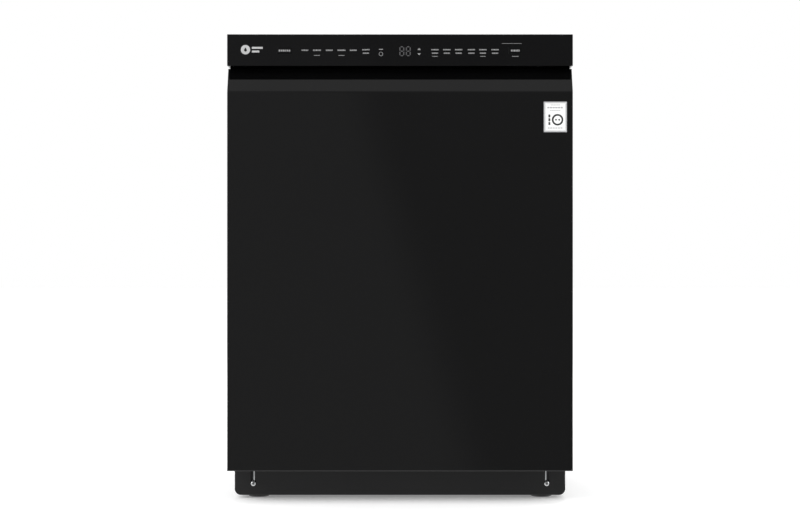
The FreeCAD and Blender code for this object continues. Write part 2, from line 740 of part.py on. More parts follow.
def upper_slides():
    """Middle members of the telescopic rails."""
    bar = block("266.6", "tub_half - 2", "-205", "240", "rail_low + 1.8", "rail_high - 1.8")
    return pair(bar)


def upper_rack_carriers():
    """Height adjusters between the basket and the slides."""
    plate = block("upper_half + 0.2", "262", "-110", "130", "545", "604")
    shoe = block("262", "266.2", "-90", "110", "rail_low + 3", "rail_high - 3")
    return pair(fuse(plate, shoe))


def rack_basket(half, front, back, low, high, cells):
    """Floor and four walls of welded wire, each a flat grid."""
    across, along, up = cells
    wall_up = f"({high}) - ({low}) - wire - 0.2"
    floor = place(wire_grid("XY", f"2*({half})", f"({back}) - ({front})", across, along), 0, front, low)
    walls = []
    for y in (f"{front} + wire", back):
        walls.append(place(wire_grid("XZ", f"2*({half})", wall_up, across, up), 0, y, f"{low} + wire + 0.1"))
    length = f"({back}) - ({front}) - 2*wire - 0.4"
    for x in (f"-({half})", f"{half} - wire"):
        walls.append(place(wire_grid("YZ", length, wall_up, along, up), x, f"(({front}) + ({back}))/2",
                           f"{low} + wire + 0.1"))
    return group(floor, *walls)


def cup_shelf():
    """Hinged shelf along a side of the upper rack, lying flat."""
    return place(wire_grid("XY", "80", "300", 4, 12), "-upper_half + wire + 46", "-130", "606")


def comb(x, y0, y1, low, height, count):
    """Row of plate pins on a turning rod."""
    rail = rod("1.8", "Y", x, y0, low, f"({y1}) - ({y0})")
    step = f"(({y1}) - ({y0}) - 20)/{count - 1}"
    pins = [rod("1.6", "Z", x, f"{y0} + 10 + {i}*{step}", low, height) for i in range(count)]
    return fuse(rail, *pins)


def lower_fold_pins():
    return comb("-75", "-160", "200", "lower_low + wire + 2.2", "82", 13)


def upper_arm_feed():
    """Pipe under the upper rack from the docking cup to the arm's spindle."""
    pipe = rod("7.5", "Y", 0, "arm_y + 3", "496", "247 - arm_y")
    drop = rod("11", "Z", 0, "arm_y", "488", "17")
    spindle = rod("6", "Z", 0, "arm_y", "465", "25")
    nut = rod("10", "Z", 0, "arm_y", "462", "5")
    return fuse(pipe, drop, spindle, nut)


def wheels(y):
    """A pair of rack wheels on stub axles that clip to the basket."""
    wheel = rod("wheel_r", "X", "wheel_x - 4", y, "tub_floor + 0.3 + wheel_r", "8")
    groove = cut(rod("wheel_r + 1", "X", "wheel_x - 1", y, "tub_floor + 0.3 + wheel_r", "2"),
                 rod("wheel_r - 1.5", "X", "wheel_x - 2", y, "tub_floor + 0.3 + wheel_r", "4"))
    bore = rod("3 + running", "X", "wheel_x - 5", y, "tub_floor + 0.3 + wheel_r", "10")
    return pair(cut(wheel, groove, bore))


def wheel_stays():
    """Plates that hang from the rack floor and carry the wheel axles."""
    stays = []
    for y in ("wheel_front", "wheel_rear"):
        stay = block("wheel_x - 8", "wheel_x - 5", f"{y} - 9", f"{y} + 9",
                     "tub_floor + wheel_r - 6", "lower_low - 0.1")
        axle = rod("3", "X", "wheel_x - 8", y, "tub_floor + 0.3 + wheel_r", "13")
        stays.append(fuse(stay, axle))
    return group(*stays, *[mirrored(stay) for stay in stays])


def cutlery_basket():
    """Open-topped basket with cross walls, standing in the lower rack."""
    outer = block("110", "186", "-180", "60", "lower_low + wire + 1", "292")
    cells = []
    for i in range(4):
        y = f"-180 + 2.5 + {i}*59.4"
        cells.append(block("112.5", "183.5", y, f"{y} + 56.9", "lower_low + wire + 3.5", "300"))
    return cut(outer, *cells)


# ---------------------------------------------------------------- build and write

def build():
    for make in (door_outer_panel, handle_pocket, control_panel, control_board, door_inner_liner,
                 hinge_arms, latch_housing, latch_lever, dispenser_body, detergent_lid, rinse_cap,
                 dispenser_button, door_vent, door_bottom_seal, door_screws, front_label, base_pan,
                 chassis_frame, toe_panel, toe_screws, countertop_brackets, hinge_brackets,
                 spring_rods, springs, junction_box, inlet_valve, drain_port, tub_shell, tub_floor,
                 tub_front_frame, door_seal, insulation_blanket, sump, filter_plate,
                 filter_cylinder, lower_arm_hub, circulation_pump, drain_pump, feed_pipe, float_cap,
                 upper_rails, upper_slides, upper_rack_carriers, upper_arm_feed,
                 cutlery_basket, lower_fold_pins):
        node(make.__name__, make())
    for name in KEYS:
        node(name, key(name))
    for name, (side, y) in FEET.items():
        node(name, foot(side, y))
    node("lower_spray_arm", spray_arm("arm_reach", "120", "137", "10", "21", "spindle_r + running"))
    node("upper_spray_arm", spray_arm("205", "95", "472", "9", "19", "6 + running"))
    node("upper_rack_basket", rack_basket("upper_half", "upper_front", "upper_back", "upper_low",
                                          "upper_high", (14, 12, 3)))
    lower = rack_basket("lower_half", "lower_front", "lower_back", "lower_low", "lower_high", (14, 12, 3))
    node("lower_rack_basket", group(lower, wheel_stays()))
    shelf = node("cup_shelf_left", cup_shelf())
    node("cup_shelf_right", mirrored(shelf))
    node("wheels_front", wheels("wheel_front"))
    node("wheels_rear", wheels("wheel_rear"))


def check():
    """Stop if any object failed or any sub-part is empty or invalid."""
    for part in doc.Objects:
        if "Invalid" in part.State or "Error" in part.State:
            raise RuntimeError(f"{part.Label} is {part.State}")
    bad = [name for name, part in NODES.items()
           if part.Shape.isNull() or not part.Shape.isValid() or not part.Shape.Solids]
    if bad:
        raise RuntimeError(f"no valid solid in {bad}")


def write():
    os.makedirs("parts", exist_ok=True)
    for name, part in NODES.items():
        part.Shape.exportStep(f"parts/{name}.step")


build()
doc.recompute()
check()
write()
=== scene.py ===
import json
import random
from math import copysign, cos, hypot, pi, radians, sin, sqrt, tan

import bmesh
import bpy
from mathutils import Matrix, Vector


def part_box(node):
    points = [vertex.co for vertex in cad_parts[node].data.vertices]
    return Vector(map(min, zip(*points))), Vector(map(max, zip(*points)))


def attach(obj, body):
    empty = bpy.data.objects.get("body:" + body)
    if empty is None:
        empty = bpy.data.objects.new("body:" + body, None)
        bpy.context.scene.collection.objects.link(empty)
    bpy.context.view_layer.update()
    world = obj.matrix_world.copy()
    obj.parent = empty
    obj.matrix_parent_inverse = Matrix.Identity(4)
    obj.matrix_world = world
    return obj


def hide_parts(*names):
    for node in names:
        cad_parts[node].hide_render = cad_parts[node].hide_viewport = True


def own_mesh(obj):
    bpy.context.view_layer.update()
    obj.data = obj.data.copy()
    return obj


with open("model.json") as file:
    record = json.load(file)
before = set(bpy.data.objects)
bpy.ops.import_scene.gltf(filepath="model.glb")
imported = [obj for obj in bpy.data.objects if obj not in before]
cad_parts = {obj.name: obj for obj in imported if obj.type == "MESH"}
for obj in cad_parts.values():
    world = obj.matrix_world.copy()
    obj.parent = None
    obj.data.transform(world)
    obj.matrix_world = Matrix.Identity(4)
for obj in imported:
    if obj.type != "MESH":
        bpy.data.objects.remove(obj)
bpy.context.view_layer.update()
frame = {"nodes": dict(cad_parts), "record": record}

# The looks of a built-in dishwasher: black door and console, steel tub, wire racks.
# Metres, +Z up, the front of the door towards -Y. Places come from the CAD nodes' boxes or are in mm.

MM = 0.001
random.seed(7)


# ---- materials

def principled(name):
    """A new material with its node tree and its Principled shader."""
    look = bpy.data.materials.new(name)
    look.use_nodes = True
    tree = look.node_tree
    return look, tree, tree.nodes["Principled BSDF"]


def set_inputs(node, values):
    for name, value in values.items():
        node.inputs[name].default_value = value


def noise_at(tree, scale, stretch=(1, 1, 1), detail=4.0, kind="ShaderNodeTexNoise"):
    """A procedural texture on the piece's own coordinates, stretched along its axes."""
    where = tree.nodes.new("ShaderNodeTexCoord")
    mapping = tree.nodes.new("ShaderNodeMapping")
    mapping.inputs["Scale"].default_value = stretch
    tree.links.new(where.outputs["Object"], mapping.inputs["Vector"])
    texture = tree.nodes.new(kind)
    texture.inputs["Scale"].default_value = scale
    if "Detail" in texture.inputs:
        texture.inputs["Detail"].default_value = detail
    tree.links.new(mapping.outputs["Vector"], texture.inputs["Vector"])
    return texture


def value_of(texture):
    """A texture's plain value output."""
    return texture.outputs.get("Fac") or texture.outputs.get("Distance") or texture.outputs[0]


def toned(tree, source, stops):
    """A colour ramp over a socket, given as (position, colour) stops. Returns its colour socket."""
    node = tree.nodes.new("ShaderNodeValToRGB")
    elements = node.color_ramp.elements
    for position, colour in stops[1:-1]:
        elements.new(position)
    for element, (position, colour) in zip(elements, stops):
        element.position, element.color = position, (*colour, 1)
    tree.links.new(source, node.inputs["Fac"])
    return node.outputs["Color"]


def mapped(tree, source, low, high, start=0.0, end=1.0):
    """A Map Range over a socket, from start..end to low..high. Returns its result socket."""
    node = tree.nodes.new("ShaderNodeMapRange")
    set_inputs(node, {"From Min": start, "From Max": end, "To Min": low, "To Max": high})
    tree.links.new(source, node.inputs["Value"])
    return node.outputs["Result"]


def vary_colour(tree, shader, texture, dark, light, low=0.3, high=0.7):
    colour = toned(tree, value_of(texture), ((low, dark), (high, light)))
    tree.links.new(colour, shader.inputs["Base Color"])


def vary_roughness(tree, shader, texture, low, high):
    tree.links.new(mapped(tree, value_of(texture), low, high), shader.inputs["Roughness"])


def add_bump(tree, shader, texture, strength, distance):
    bump = tree.nodes.new("ShaderNodeBump")
    set_inputs(bump, {"Strength": strength, "Distance": distance})
    tree.links.new(value_of(texture), bump.inputs["Height"])
    tree.links.new(bump.outputs["Normal"], shader.inputs["Normal"])


def scaled(colour, factor):
    return tuple(min(1.0, c * factor) for c in colour)


def finish(name, colour, rough, metal=0.0, spread=0.12, cloud=9.0, grain=900.0, stretch=(1, 1, 1),
           bump=0.15, depth=0.0001, specular=0.5, coat=0.0, kind="ShaderNodeTexNoise"):
    """A surface with cloudy colour and roughness and a finer grain in its relief."""
    look, tree, shader = principled(name)
    set_inputs(shader, {"Metallic": metal, "Specular IOR Level": specular,
                        "Coat Weight": coat, "Coat Roughness": 0.2})
    clouds = noise_at(tree, cloud, detail=6.0)
    vary_colour(tree, shader, clouds, scaled(colour, 1 - spread), scaled(colour, 1 + spread))
    fine = noise_at(tree, grain, stretch, 3.0, kind)
    vary_roughness(tree, shader, fine, rough * (1 - spread), rough * (1 + spread))
    add_bump(tree, shader, fine, bump, depth)
    return look


LOOKS = {
    "black_steel": finish("black_enamelled_steel", (0.0014, 0.0014, 0.0015), 0.05, spread=0.06, grain=1500,
                          bump=0.004, specular=0.31),
    "console_black": finish("console_plastic", (0.0022, 0.0022, 0.0024), 0.08, spread=0.06, grain=2400,
                            bump=0.006, specular=0.18),
    # The grip pocket's black plastic is made darker and almost without reflection: partly its own colour,
    # partly painted shade of the recess.
    "pocket_black": finish("pocket_plastic_and_painted_shade", (0.0009, 0.0009, 0.0009), 0.8, grain=1600,
                           bump=0.2, specular=0.002),
    "toe_black": finish("toe_panel_paint", (0.007, 0.007, 0.0073), 0.3, grain=1100, bump=0.05, specular=0.43),
    "stainless": finish("brushed_stainless", (0.66, 0.66, 0.65), 0.26, metal=1.0, spread=0.04, cloud=2.0,
                        grain=520, stretch=(0.05, 0.05, 1.6), bump=0.03, depth=0.00005),
    "zinc_screw": finish("bright_zinc", (0.66, 0.67, 0.68), 0.22, metal=1.0, cloud=200, grain=3000),
    "spring_steel": finish("oiled_spring_steel", (0.28, 0.28, 0.29), 0.3, metal=1.0, cloud=80, grain=2500),
    "grey_plastic": finish("grey_plastic", (0.2, 0.21, 0.22), 0.45, grain=1300, bump=0.12),
    "light_plastic": finish("light_plastic", (0.6, 0.61, 0.62), 0.4, spread=0.05, grain=1300, bump=0.1),
    "black_plastic": finish("black_moulded_plastic", (0.02, 0.02, 0.021), 0.5, grain=700, bump=0.3),
    "rack_vinyl": finish("vinyl_coated_wire", (0.24, 0.255, 0.275), 0.34, spread=0.06, cloud=30,
                         grain=500, bump=0.1, coat=0.25),
    "seal_rubber": finish("seal_rubber", (0.022, 0.022, 0.023), 0.62, grain=600, bump=0.25),
    "board_green": finish("solder_mask", (0.015, 0.1, 0.04), 0.3, grain=240, bump=0.3,
                          kind="ShaderNodeTexVoronoi", coat=0.3),
    "paper_label": finish("label_paper", (0.72, 0.72, 0.71), 0.55, spread=0.03, grain=1800, bump=0.08),
    "label_grey": finish("label_ink_grey", (0.3, 0.3, 0.31), 0.5, spread=0.05, grain=1800, bump=0.05),
    "label_dark": finish("label_ink_dark", (0.014, 0.014, 0.015), 0.5, spread=0.05, grain=1800, bump=0.05),
    "badge_grey": finish("badge_ink", (0.34, 0.34, 0.34), 0.45, spread=0.06, cloud=60, grain=2600, bump=0.05),
    "print_grey": finish("console_ink", (0.2, 0.2, 0.2), 0.5, spread=0.06, cloud=60, grain=2600, bump=0.05),
    "print_dim": finish("display_segments", (0.05, 0.05, 0.052), 0.4, spread=0.06, cloud=60, grain=2600),
    # Near-black: painted shade in the nozzle bores and the screws' cross slots, and the dark ink of the
    # badge's drop.
    "painted_shade_and_ink": finish("painted_hole_shade_and_dark_ink", (0.006, 0.006, 0.006), 0.8, grain=900, specular=0.1),
}


def felt_look():
    """Needled felt: coarse fibres over soft grey clouds, with a little sheen."""
    look, tree, shader = principled("needled_felt")
    set_inputs(shader, {"Sheen Weight": 0.25, "Sheen Roughness": 0.6, "Specular IOR Level": 0.2})
    fibres = noise_at(tree, 420, (1, 0.4, 1), 9.0)
    vary_colour(tree, shader, fibres, (0.13, 0.13, 0.133), (0.26, 0.26, 0.262), 0.3, 0.72)
    vary_roughness(tree, shader, fibres, 0.8, 1.0)
    add_bump(tree, shader, fibres, 0.6, 0.0004)
    return look


def mesh_filter_look():
    """Perforated stainless sheet: a fine square pattern of perforations, their dark insides painted shade."""
    look, tree, shader = principled("perforated_stainless")
    shader.inputs["Metallic"].default_value = 1.0
    # The dark centres of the cells are painted shade of the perforations; the same pattern also sets
    # roughness and relief.
    painted_hole_shade = noise_at(tree, 520, kind="ShaderNodeTexVoronoi")
    painted_hole_shade.inputs["Randomness"].default_value = 0.0
    vary_colour(tree, shader, painted_hole_shade, (0.02, 0.02, 0.02), (0.55, 0.55, 0.54), 0.3, 0.42)
    vary_roughness(tree, shader, painted_hole_shade, 0.6, 0.28)
    add_bump(tree, shader, painted_hole_shade, 0.5, 0.0003)
    return look


def zinc_look():
    """Hot-dip zinc: flat crystals a few millimetres wide, each a slightly different grey."""
    look, tree, shader = principled("zinc_coated_steel")
    shader.inputs["Metallic"].default_value = 1.0
    crystals = noise_at(tree, 210, kind="ShaderNodeTexVoronoi")
    grey = tree.nodes.new("ShaderNodeSeparateColor")
    tree.links.new(crystals.outputs["Color"], grey.inputs["Color"])
    tone = toned(tree, grey.outputs["Red"], ((0.0, (0.4, 0.41, 0.42)), (1.0, (0.56, 0.57, 0.58))))
    tree.links.new(tone, shader.inputs["Base Color"])
    tree.links.new(mapped(tree, grey.outputs["Green"], 0.34, 0.5), shader.inputs["Roughness"])
    return look


LOOKS["blanket"] = felt_look()
LOOKS["perforated"] = mesh_filter_look()
LOOKS["galvanised"] = zinc_look()

SLOT_OF = {row["node"]: row["material_slot"] for row in frame["record"]["subparts"]}
BODY_OF = {node: body for body, nodes in frame["record"]["behaviour"]["bodies"].items() for node in nodes}


# ---- mesh helpers

def shade(bm, sharp_angle=38.0):
    """Smooth faces, with creases wherever two faces meet at more than an angle."""
    limit = radians(sharp_angle)
    for face in bm.faces:
        face.smooth = True
    for edge in bm.edges:
        edge.smooth = len(edge.link_faces) == 2 and edge.calc_face_angle(0.0) < limit


def placed(name, data):
    """A new object of the scene."""
    made = bpy.data.objects.new(name, data)
    bpy.context.scene.collection.objects.link(made)
    return made


def piece(name, bm, body, look, replaces=(), sharp_angle=38.0):
    """Turn a bmesh into a piece of the object that rides on a body."""
    bmesh.ops.recalc_face_normals(bm, faces=bm.faces)
    shade(bm, sharp_angle)
    mesh = bpy.data.meshes.new(name)
    bm.to_mesh(mesh)
    bm.free()
    obj = placed(name, mesh)
    mesh.materials.append(LOOKS[look])
    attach(obj, body)
    if replaces:
        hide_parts(*replaces)
    return obj


def round_edges(bm, edges, width, segments):
    bmesh.ops.bevel(bm, geom=edges, offset=width, segments=segments, profile=0.5,
                    affect="EDGES", clamp_overlap=True)


def bevel_sharp(bm, width, angle=40.0):
    """Round every edge sharper than an angle."""
    limit = radians(angle)
    edges = [e for e in bm.edges if len(e.link_faces) == 2 and e.calc_face_angle(0.0) > limit]
    if edges:
        round_edges(bm, edges, width, 2)


def soften(node, width, look=None):
    """A copy of a CAD node with its edges rounded as pressed, moulded or deburred ones are."""
    bm = bmesh.new()
    bm.from_mesh(frame["nodes"][node].data)
    bm.transform(frame["nodes"][node].matrix_world)
    bmesh.ops.remove_doubles(bm, verts=bm.verts, dist=1e-6)
    bmesh.ops.dissolve_limit(bm, angle_limit=radians(0.8), verts=bm.verts, edges=bm.edges)
    bevel_sharp(bm, width)
    made = piece(f"{node}_shape", bm, BODY_OF[node], look or SLOT_OF[node], (node,))
    made.modifiers.new("flat_faces", "WEIGHTED_NORMAL").keep_sharp = True
    return made


def add_box(bm, low, high, round_to=0.0, segments=2):
    """A box between two corners with rounded edges, added to a bmesh."""
    low, high = Vector(low), Vector(high)
    made = bmesh.ops.create_cube(bm, size=1.0)["verts"]
    middle, span = (low + high) / 2, high - low
    for vert in made:
        vert.co = Vector([middle[i] + vert.co[i] * span[i] for i in range(3)])
    if round_to:
        round_edges(bm, list({e for v in made for e in v.link_edges}), round_to, segments)


def turns_of(count):
    """Evenly spaced angles of one full turn."""
    return [2 * pi * i / count for i in range(count)]


def in_mm(*points):
    """An outline given in millimetres, in metres."""
    return [(a * MM, b * MM) for a, b in points]


def add_lathe(bm, profile, centre, axis="Z", steps=48):
    """A closed (radius, height) outline turned about an axis through a centre."""
    turn = {"Z": Matrix.Identity(3), "X": Matrix.Rotation(pi / 2, 3, "Y"),
            "Y": Matrix.Rotation(-pi / 2, 3, "X")}[axis]
    rings = []
    for angle in turns_of(steps):
        ring = []
        for radius, height in profile:
            spot = turn @ Vector((radius * cos(angle), radius * sin(angle), height))
            ring.append(bm.verts.new(Vector(centre) + spot))
        rings.append(ring)
    count = len(profile)
    for i in range(steps):
        a, b = rings[i], rings[(i + 1) % steps]
        for j in range(count):
            k = (j + 1) % count
            bm.faces.new((a[j], b[j], b[k], a[k]))
    bmesh.ops.remove_doubles(bm, verts=[v for ring in rings for v in ring], dist=1e-7)
    empty = [f for f in bm.faces if f.calc_area() < 1e-14]
    bmesh.ops.delete(bm, geom=empty, context="FACES")


def add_band(bm, inner, outer, low, high, centre, axis, steps):
    """A ring, or a disc where the inner radius is 0, between two heights on an axis."""
    add_lathe(bm, [(inner, low), (outer, low), (outer, high), (inner, high)], centre, axis, steps)


def add_prism(bm, outline, axis, low, high):
    """A closed outline extruded along an axis. Outline points are the two other axes in order."""
    spots = {"X": lambda p, d: (d, p[0], p[1]), "Y": lambda p, d: (p[0], d, p[1]),
             "Z": lambda p, d: (p[0], p[1], d)}[axis]
    ends = [[bm.verts.new(spots(p, d)) for p in outline] for d in (low, high)]
    count = len(outline)
    bm.faces.new(ends[0])
    bm.faces.new(ends[1][::-1])
    for i in range(count):
        j = (i + 1) % count
        bm.faces.new((ends[0][i], ends[0][j], ends[1][j], ends[1][i]))


def rounded_path(points, radius, steps=6, closed=False):
    """A run of points with its corners turned into arcs."""
    points = [Vector(p) for p in points]
    made = []
    count = len(points)
    for i, corner in enumerate(points):
        if not closed and i in (0, count - 1):
            made.append(corner)
            continue
        before, after = points[i - 1] - corner, points[(i + 1) % count] - corner
        half = before.angle(after) / 2
        back = min(radius / tan(half), before.length * 0.49, after.length * 0.49)
        start, end = corner + before.normalized() * back, corner + after.normalized() * back
        for k in range(steps + 1):
            t = k / steps
            made.append((1 - t) ** 2 * start + 2 * t * (1 - t) * corner + t * t * end)
    return made


def divided(path, spacing):
    """A run of points with its long stretches split into steps of about one spacing."""
    dense = []
    for a, b in zip(path, path[1:]):
        parts = max(1, round((b - a).length / spacing))
        dense += [a.lerp(b, k / parts) for k in range(parts)]
    dense.append(path[-1])
    return dense


def add_wires(bm, paths, radius, resolution=2):
    """Round wires along runs of points, given as (points, closed)."""
    curve = bpy.data.curves.new("wires", "CURVE")
    curve.dimensions = "3D"
    curve.bevel_depth = radius
    curve.bevel_resolution = resolution
    curve.use_fill_caps = True
    for points, closed in paths:
        spline = curve.splines.new("POLY")
        spline.points.add(len(points) - 1)
        for spot, point in zip(spline.points, points):
            spot.co = (*point, 1)
        spline.use_cyclic_u = closed
    holder = bpy.data.objects.new("wires", curve)
    mesh = bpy.data.meshes.new_from_object(holder)
    bm.from_mesh(mesh)
    bpy.data.objects.remove(holder)
    bpy.data.curves.remove(curve)
    bpy.data.meshes.remove(mesh)


def steps_between(low, high, count):
    return [low + (high - low) * i / count for i in range(count + 1)]


def add_sheet(bm, us, vs, place, thickness, skip=None):
    """A pressed sheet: a grid placed by a function, then given a thickness."""
    grid = [[bm.verts.new(place(u, v)) for v in vs] for u in us]
    for i in range(len(us) - 1):
        for j in range(len(vs) - 1):
            if skip and skip((us[i] + us[i + 1]) / 2, (vs[j] + vs[j + 1]) / 2):
                continue
            bm.faces.new((grid[i][j], grid[i + 1][j], grid[i + 1][j + 1], grid[i][j + 1]))
    loose = [v for v in bm.verts if not v.link_faces]
    bmesh.ops.delete(bm, geom=loose, context="VERTS")
    bmesh.ops.solidify(bm, geom=list(bm.faces), thickness=thickness)


def ramp(value, edge, width):
    """0 outside an edge, 1 inside it, smooth between."""
    t = min(1.0, max(0.0, (edge - abs(value)) / width))
    return t * t * (3 - 2 * t)


# ---- front of the door

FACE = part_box("control_panel")[0].y
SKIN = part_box("door_outer_panel")
INK = 0.08 * MM
STEEL = 1.2 * MM

# Rows of captions on the console: their places, height, width and line height, in mm.
TOUCH_KEYS = (61, 81.6, 102.3, 124.4, 144.6, 165.7, -59.5)
CAPTIONS = (
    ((-201.5,), 791.4, 20, 3.2), ((201,), 791.4, 15, 3.2), ((201,), 781.3, 11, 1.1),
    ((-165.8, -123.3, -81.5), 792, 11.5, 2.4), ((-144.8, -102), 792, 13.5, 2.4),
    ((-144.8, -102), 783, 10, 1.2), (TOUCH_KEYS, 793, 12.5, 2.2), (TOUCH_KEYS, 786.9, 10.5, 2.2),
    ((61, 144.6), 781.3, 9, 1.1),
)


def door_skin():
    """Enamelled steel wrapper: flat face, soft bend into the grip recess, folded edges."""
    low, high = SKIN
    half, rear = high.x, high.y
    slope_foot, slope_in = high.z - 42 * MM, 23.2 * MM
    hem_depth = 17.5 * MM
    outer = [(FACE + hem_depth, low.z), (FACE, low.z), (FACE, slope_foot), (FACE + slope_in, high.z)]
    line = [Vector((0, y, z)) for y, z in outer]
    bends = [line[0]]
    for corner, radius in ((1, 2.5 * MM), (2, 8 * MM)):
        bends += rounded_path(line[corner - 1:corner + 2], radius, 8)[1:-1]
    bends.append(line[3])
    roll, margin = 1.1 * MM, 0.5 * MM
    columns = steps_between(-half + roll + margin, half - roll - margin, 40)
    edge = [-half, -half + 0.15 * roll, -half + 0.5 * roll, -half + roll]
    across = edge + columns + [-x for x in reversed(edge)]

    def place(u, v):
        spot = bends[v]
        tuck = max(0.0, abs(u) - (half - roll)) / roll
        inward = 1 - sqrt(max(0.0, 1 - min(1.0, tuck) ** 2))
        return Vector((u, spot.y + inward * roll, spot.z))

    bm = bmesh.new()
    add_sheet(bm, across, list(range(len(bends))), place, STEEL)
    front, foot, top = FACE + 2 * MM, low.z + 0.4 * MM, high.z - 0.5 * MM
    outline = [(front, foot), (front, slope_foot), (FACE + slope_in, top), (rear, top), (rear, foot)]
    for side in (-1, 1):
        add_prism(bm, outline, "X", side * (half - STEEL), side * half)
    return piece("door_skin", bm, "door", "black_steel", ("door_outer_panel",), 30)


def add_mark(bm, x, z, wide, tall):
    """A printed bar on the console's face."""
    add_box(bm, (x - wide / 2, FACE - INK, z - tall / 2), (x + wide / 2, FACE + INK, z + tall / 2))


def add_words(bm, x, z, wide, tall):
    """A wordless row of short ticks, standing where a caption would be."""
    left = x - wide / 2
    share = [4, 3, 5, 3, 4, 3]
    gap = 0.05 * wide
    unit = (wide - gap * (len(share) - 1)) / sum(share)
    for part in share:
        add_mark(bm, left + part * unit / 2, z, part * unit, tall)
        left += part * unit + gap


def add_digit(bm, x, z, wide, tall, bar):
    """An unlit seven-segment figure."""
    for level in (-1, 0, 1):
        add_mark(bm, x, z + level * (tall - bar) / 2, wide - 2.4 * bar, bar)
    for side in (-1, 1):
        for level in (-1, 1):
            add_mark(bm, x + side * (wide - bar) / 2, z + level * (tall - bar) / 4, bar, tall / 2 - 1.6 * bar)


def console_print():
    """Badge, captions, icons and key outlines of the console, all without letters."""
    bm = bmesh.new()
    for places, height, wide, tall in CAPTIONS:
        for x in places:
            add_words(bm, x * MM, height * MM, wide * MM, tall * MM)
    lock = -33.3 * MM
    add_band(bm, 2.9 * MM, 3.6 * MM, -INK, INK, (lock, FACE, 785.5 * MM), "Y", 40)
    add_mark(bm, lock, 793.6 * MM, 7 * MM, 1.4 * MM)
    arrow, reach = 33.3, 3
    for z, point in ((794, 1), (785.1, -1)):
        base, tip = z - 1.6 * point, z + 1.8 * point
        outline = in_mm((arrow - reach, base), (arrow, tip), (arrow + reach, base))
        add_prism(bm, outline, "Y", FACE - INK, FACE + INK)
    add_mark(bm, 194.8 * MM, 803.8 * MM, 35 * MM, 0.5 * MM)
    piece("console_print", bm, "door", "print_grey")
    bm = bmesh.new()
    badge_x, badge_z, badge_radius = -269.4 * MM, 793 * MM, 8.2 * MM
    rim = [(badge_x + badge_radius * cos(turn), badge_z + badge_radius * sin(turn))
           for turn in turns_of(56)]
    add_prism(bm, rim, "Y", FACE - INK, FACE + INK)
    bars_left, bar_tall = -258.3, 3.4 * MM
    for z, wide in ((3.2, 19), (-3.2, 13)):
        add_mark(bm, (bars_left + wide / 2) * MM, badge_z + z * MM, wide * MM, bar_tall)
    piece("console_badge", bm, "door", "badge_grey")
    bm = bmesh.new()
    drop_radius, drop_z = 2.4 * MM, badge_z - 0.9 * MM
    drop = []
    for turn in turns_of(28):
        point = 1 + 0.9 * max(0.0, sin(turn)) ** 6
        drop.append((badge_x + drop_radius * cos(turn), drop_z + drop_radius * point * sin(turn)))
    add_prism(bm, drop, "Y", FACE - 1.5 * INK, FACE + INK)
    piece("console_badge_drop", bm, "door", "painted_shade_and_ink")
    bm = bmesh.new()
    for x in (3.2, 14.4):
        add_digit(bm, x * MM, 790.3 * MM, 8.6 * MM, 17.4 * MM, 1.9 * MM)
    piece("console_digits", bm, "door", "print_dim")


def front_label():
    """A plain paper label with a border, rows of ticks, a ring and a stack of bars."""
    low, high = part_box("front_label")
    bm = bmesh.new()
    add_box(bm, low, (high.x, FACE + 0.02 * MM, high.z), 0.06 * MM, 1)
    piece("label_sheet", bm, "door", "paper_label", ("front_label",))
    middle, span, y = (low + high) / 2, high - low, low.y
    proud = 0.02 * MM

    def stamp(bm, x0, x1, z0, z1):
        add_box(bm, (x0, y - proud, z0), (x1, y + proud, z1))

    bm = bmesh.new()
    for inset, bar in ((0.0, 2.0 * MM), (2.6 * MM, 0.6 * MM)):
        for side in (-1, 1):
            edge = middle.x + side * (span.x / 2 - inset - bar / 2)
            stamp(bm, edge - bar / 2, edge + bar / 2, low.z + inset, high.z - inset)
            edge = middle.z + side * (span.z / 2 - inset - bar / 2)
            stamp(bm, low.x + inset + bar, high.x - inset - bar, edge - bar / 2, edge + bar / 2)
    piece("label_border", bm, "door", "label_grey")
    bm = bmesh.new()
    ticks, inked = 6, 0.78
    for rise, wide, tall in ((20.8, 17, 1.6), (16.2, 28, 3.0), (11.4, 19, 1.6), (-19.4, 27, 2.0)):
        left, step = middle.x - wide / 2 * MM, wide / ticks * MM
        for i in range(ticks):
            stamp(bm, left + i * step, left + (i + inked) * step,
                  middle.z + (rise - tall / 2) * MM, middle.z + (rise + tall / 2) * MM)
    piece("label_rows", bm, "door", "label_grey")
    bm = bmesh.new()
    centre = Vector((middle.x + 3.9 * MM, y, middle.z - 5 * MM))
    add_band(bm, 6.9 * MM, 10.1 * MM, -proud, proud, centre, "Y", 64)
    dot_out, dot_radius = 2.8 * MM, 1.6 * MM
    for side in (-1, 1):
        add_band(bm, 0, dot_radius, -proud, proud, centre + Vector((side * dot_out, 0, 0)), "Y", 24)
    bar_x, bar_step, half_wide, half_tall = middle.x - 10.4 * MM, 6.6 * MM, 1.7 * MM, 2.6 * MM
    for i in (-1, 0, 1):
        z = centre.z + i * bar_step
        stamp(bm, bar_x - half_wide, bar_x + half_wide, z - half_tall, z + half_tall)
    piece("label_badge", bm, "door", "label_dark")


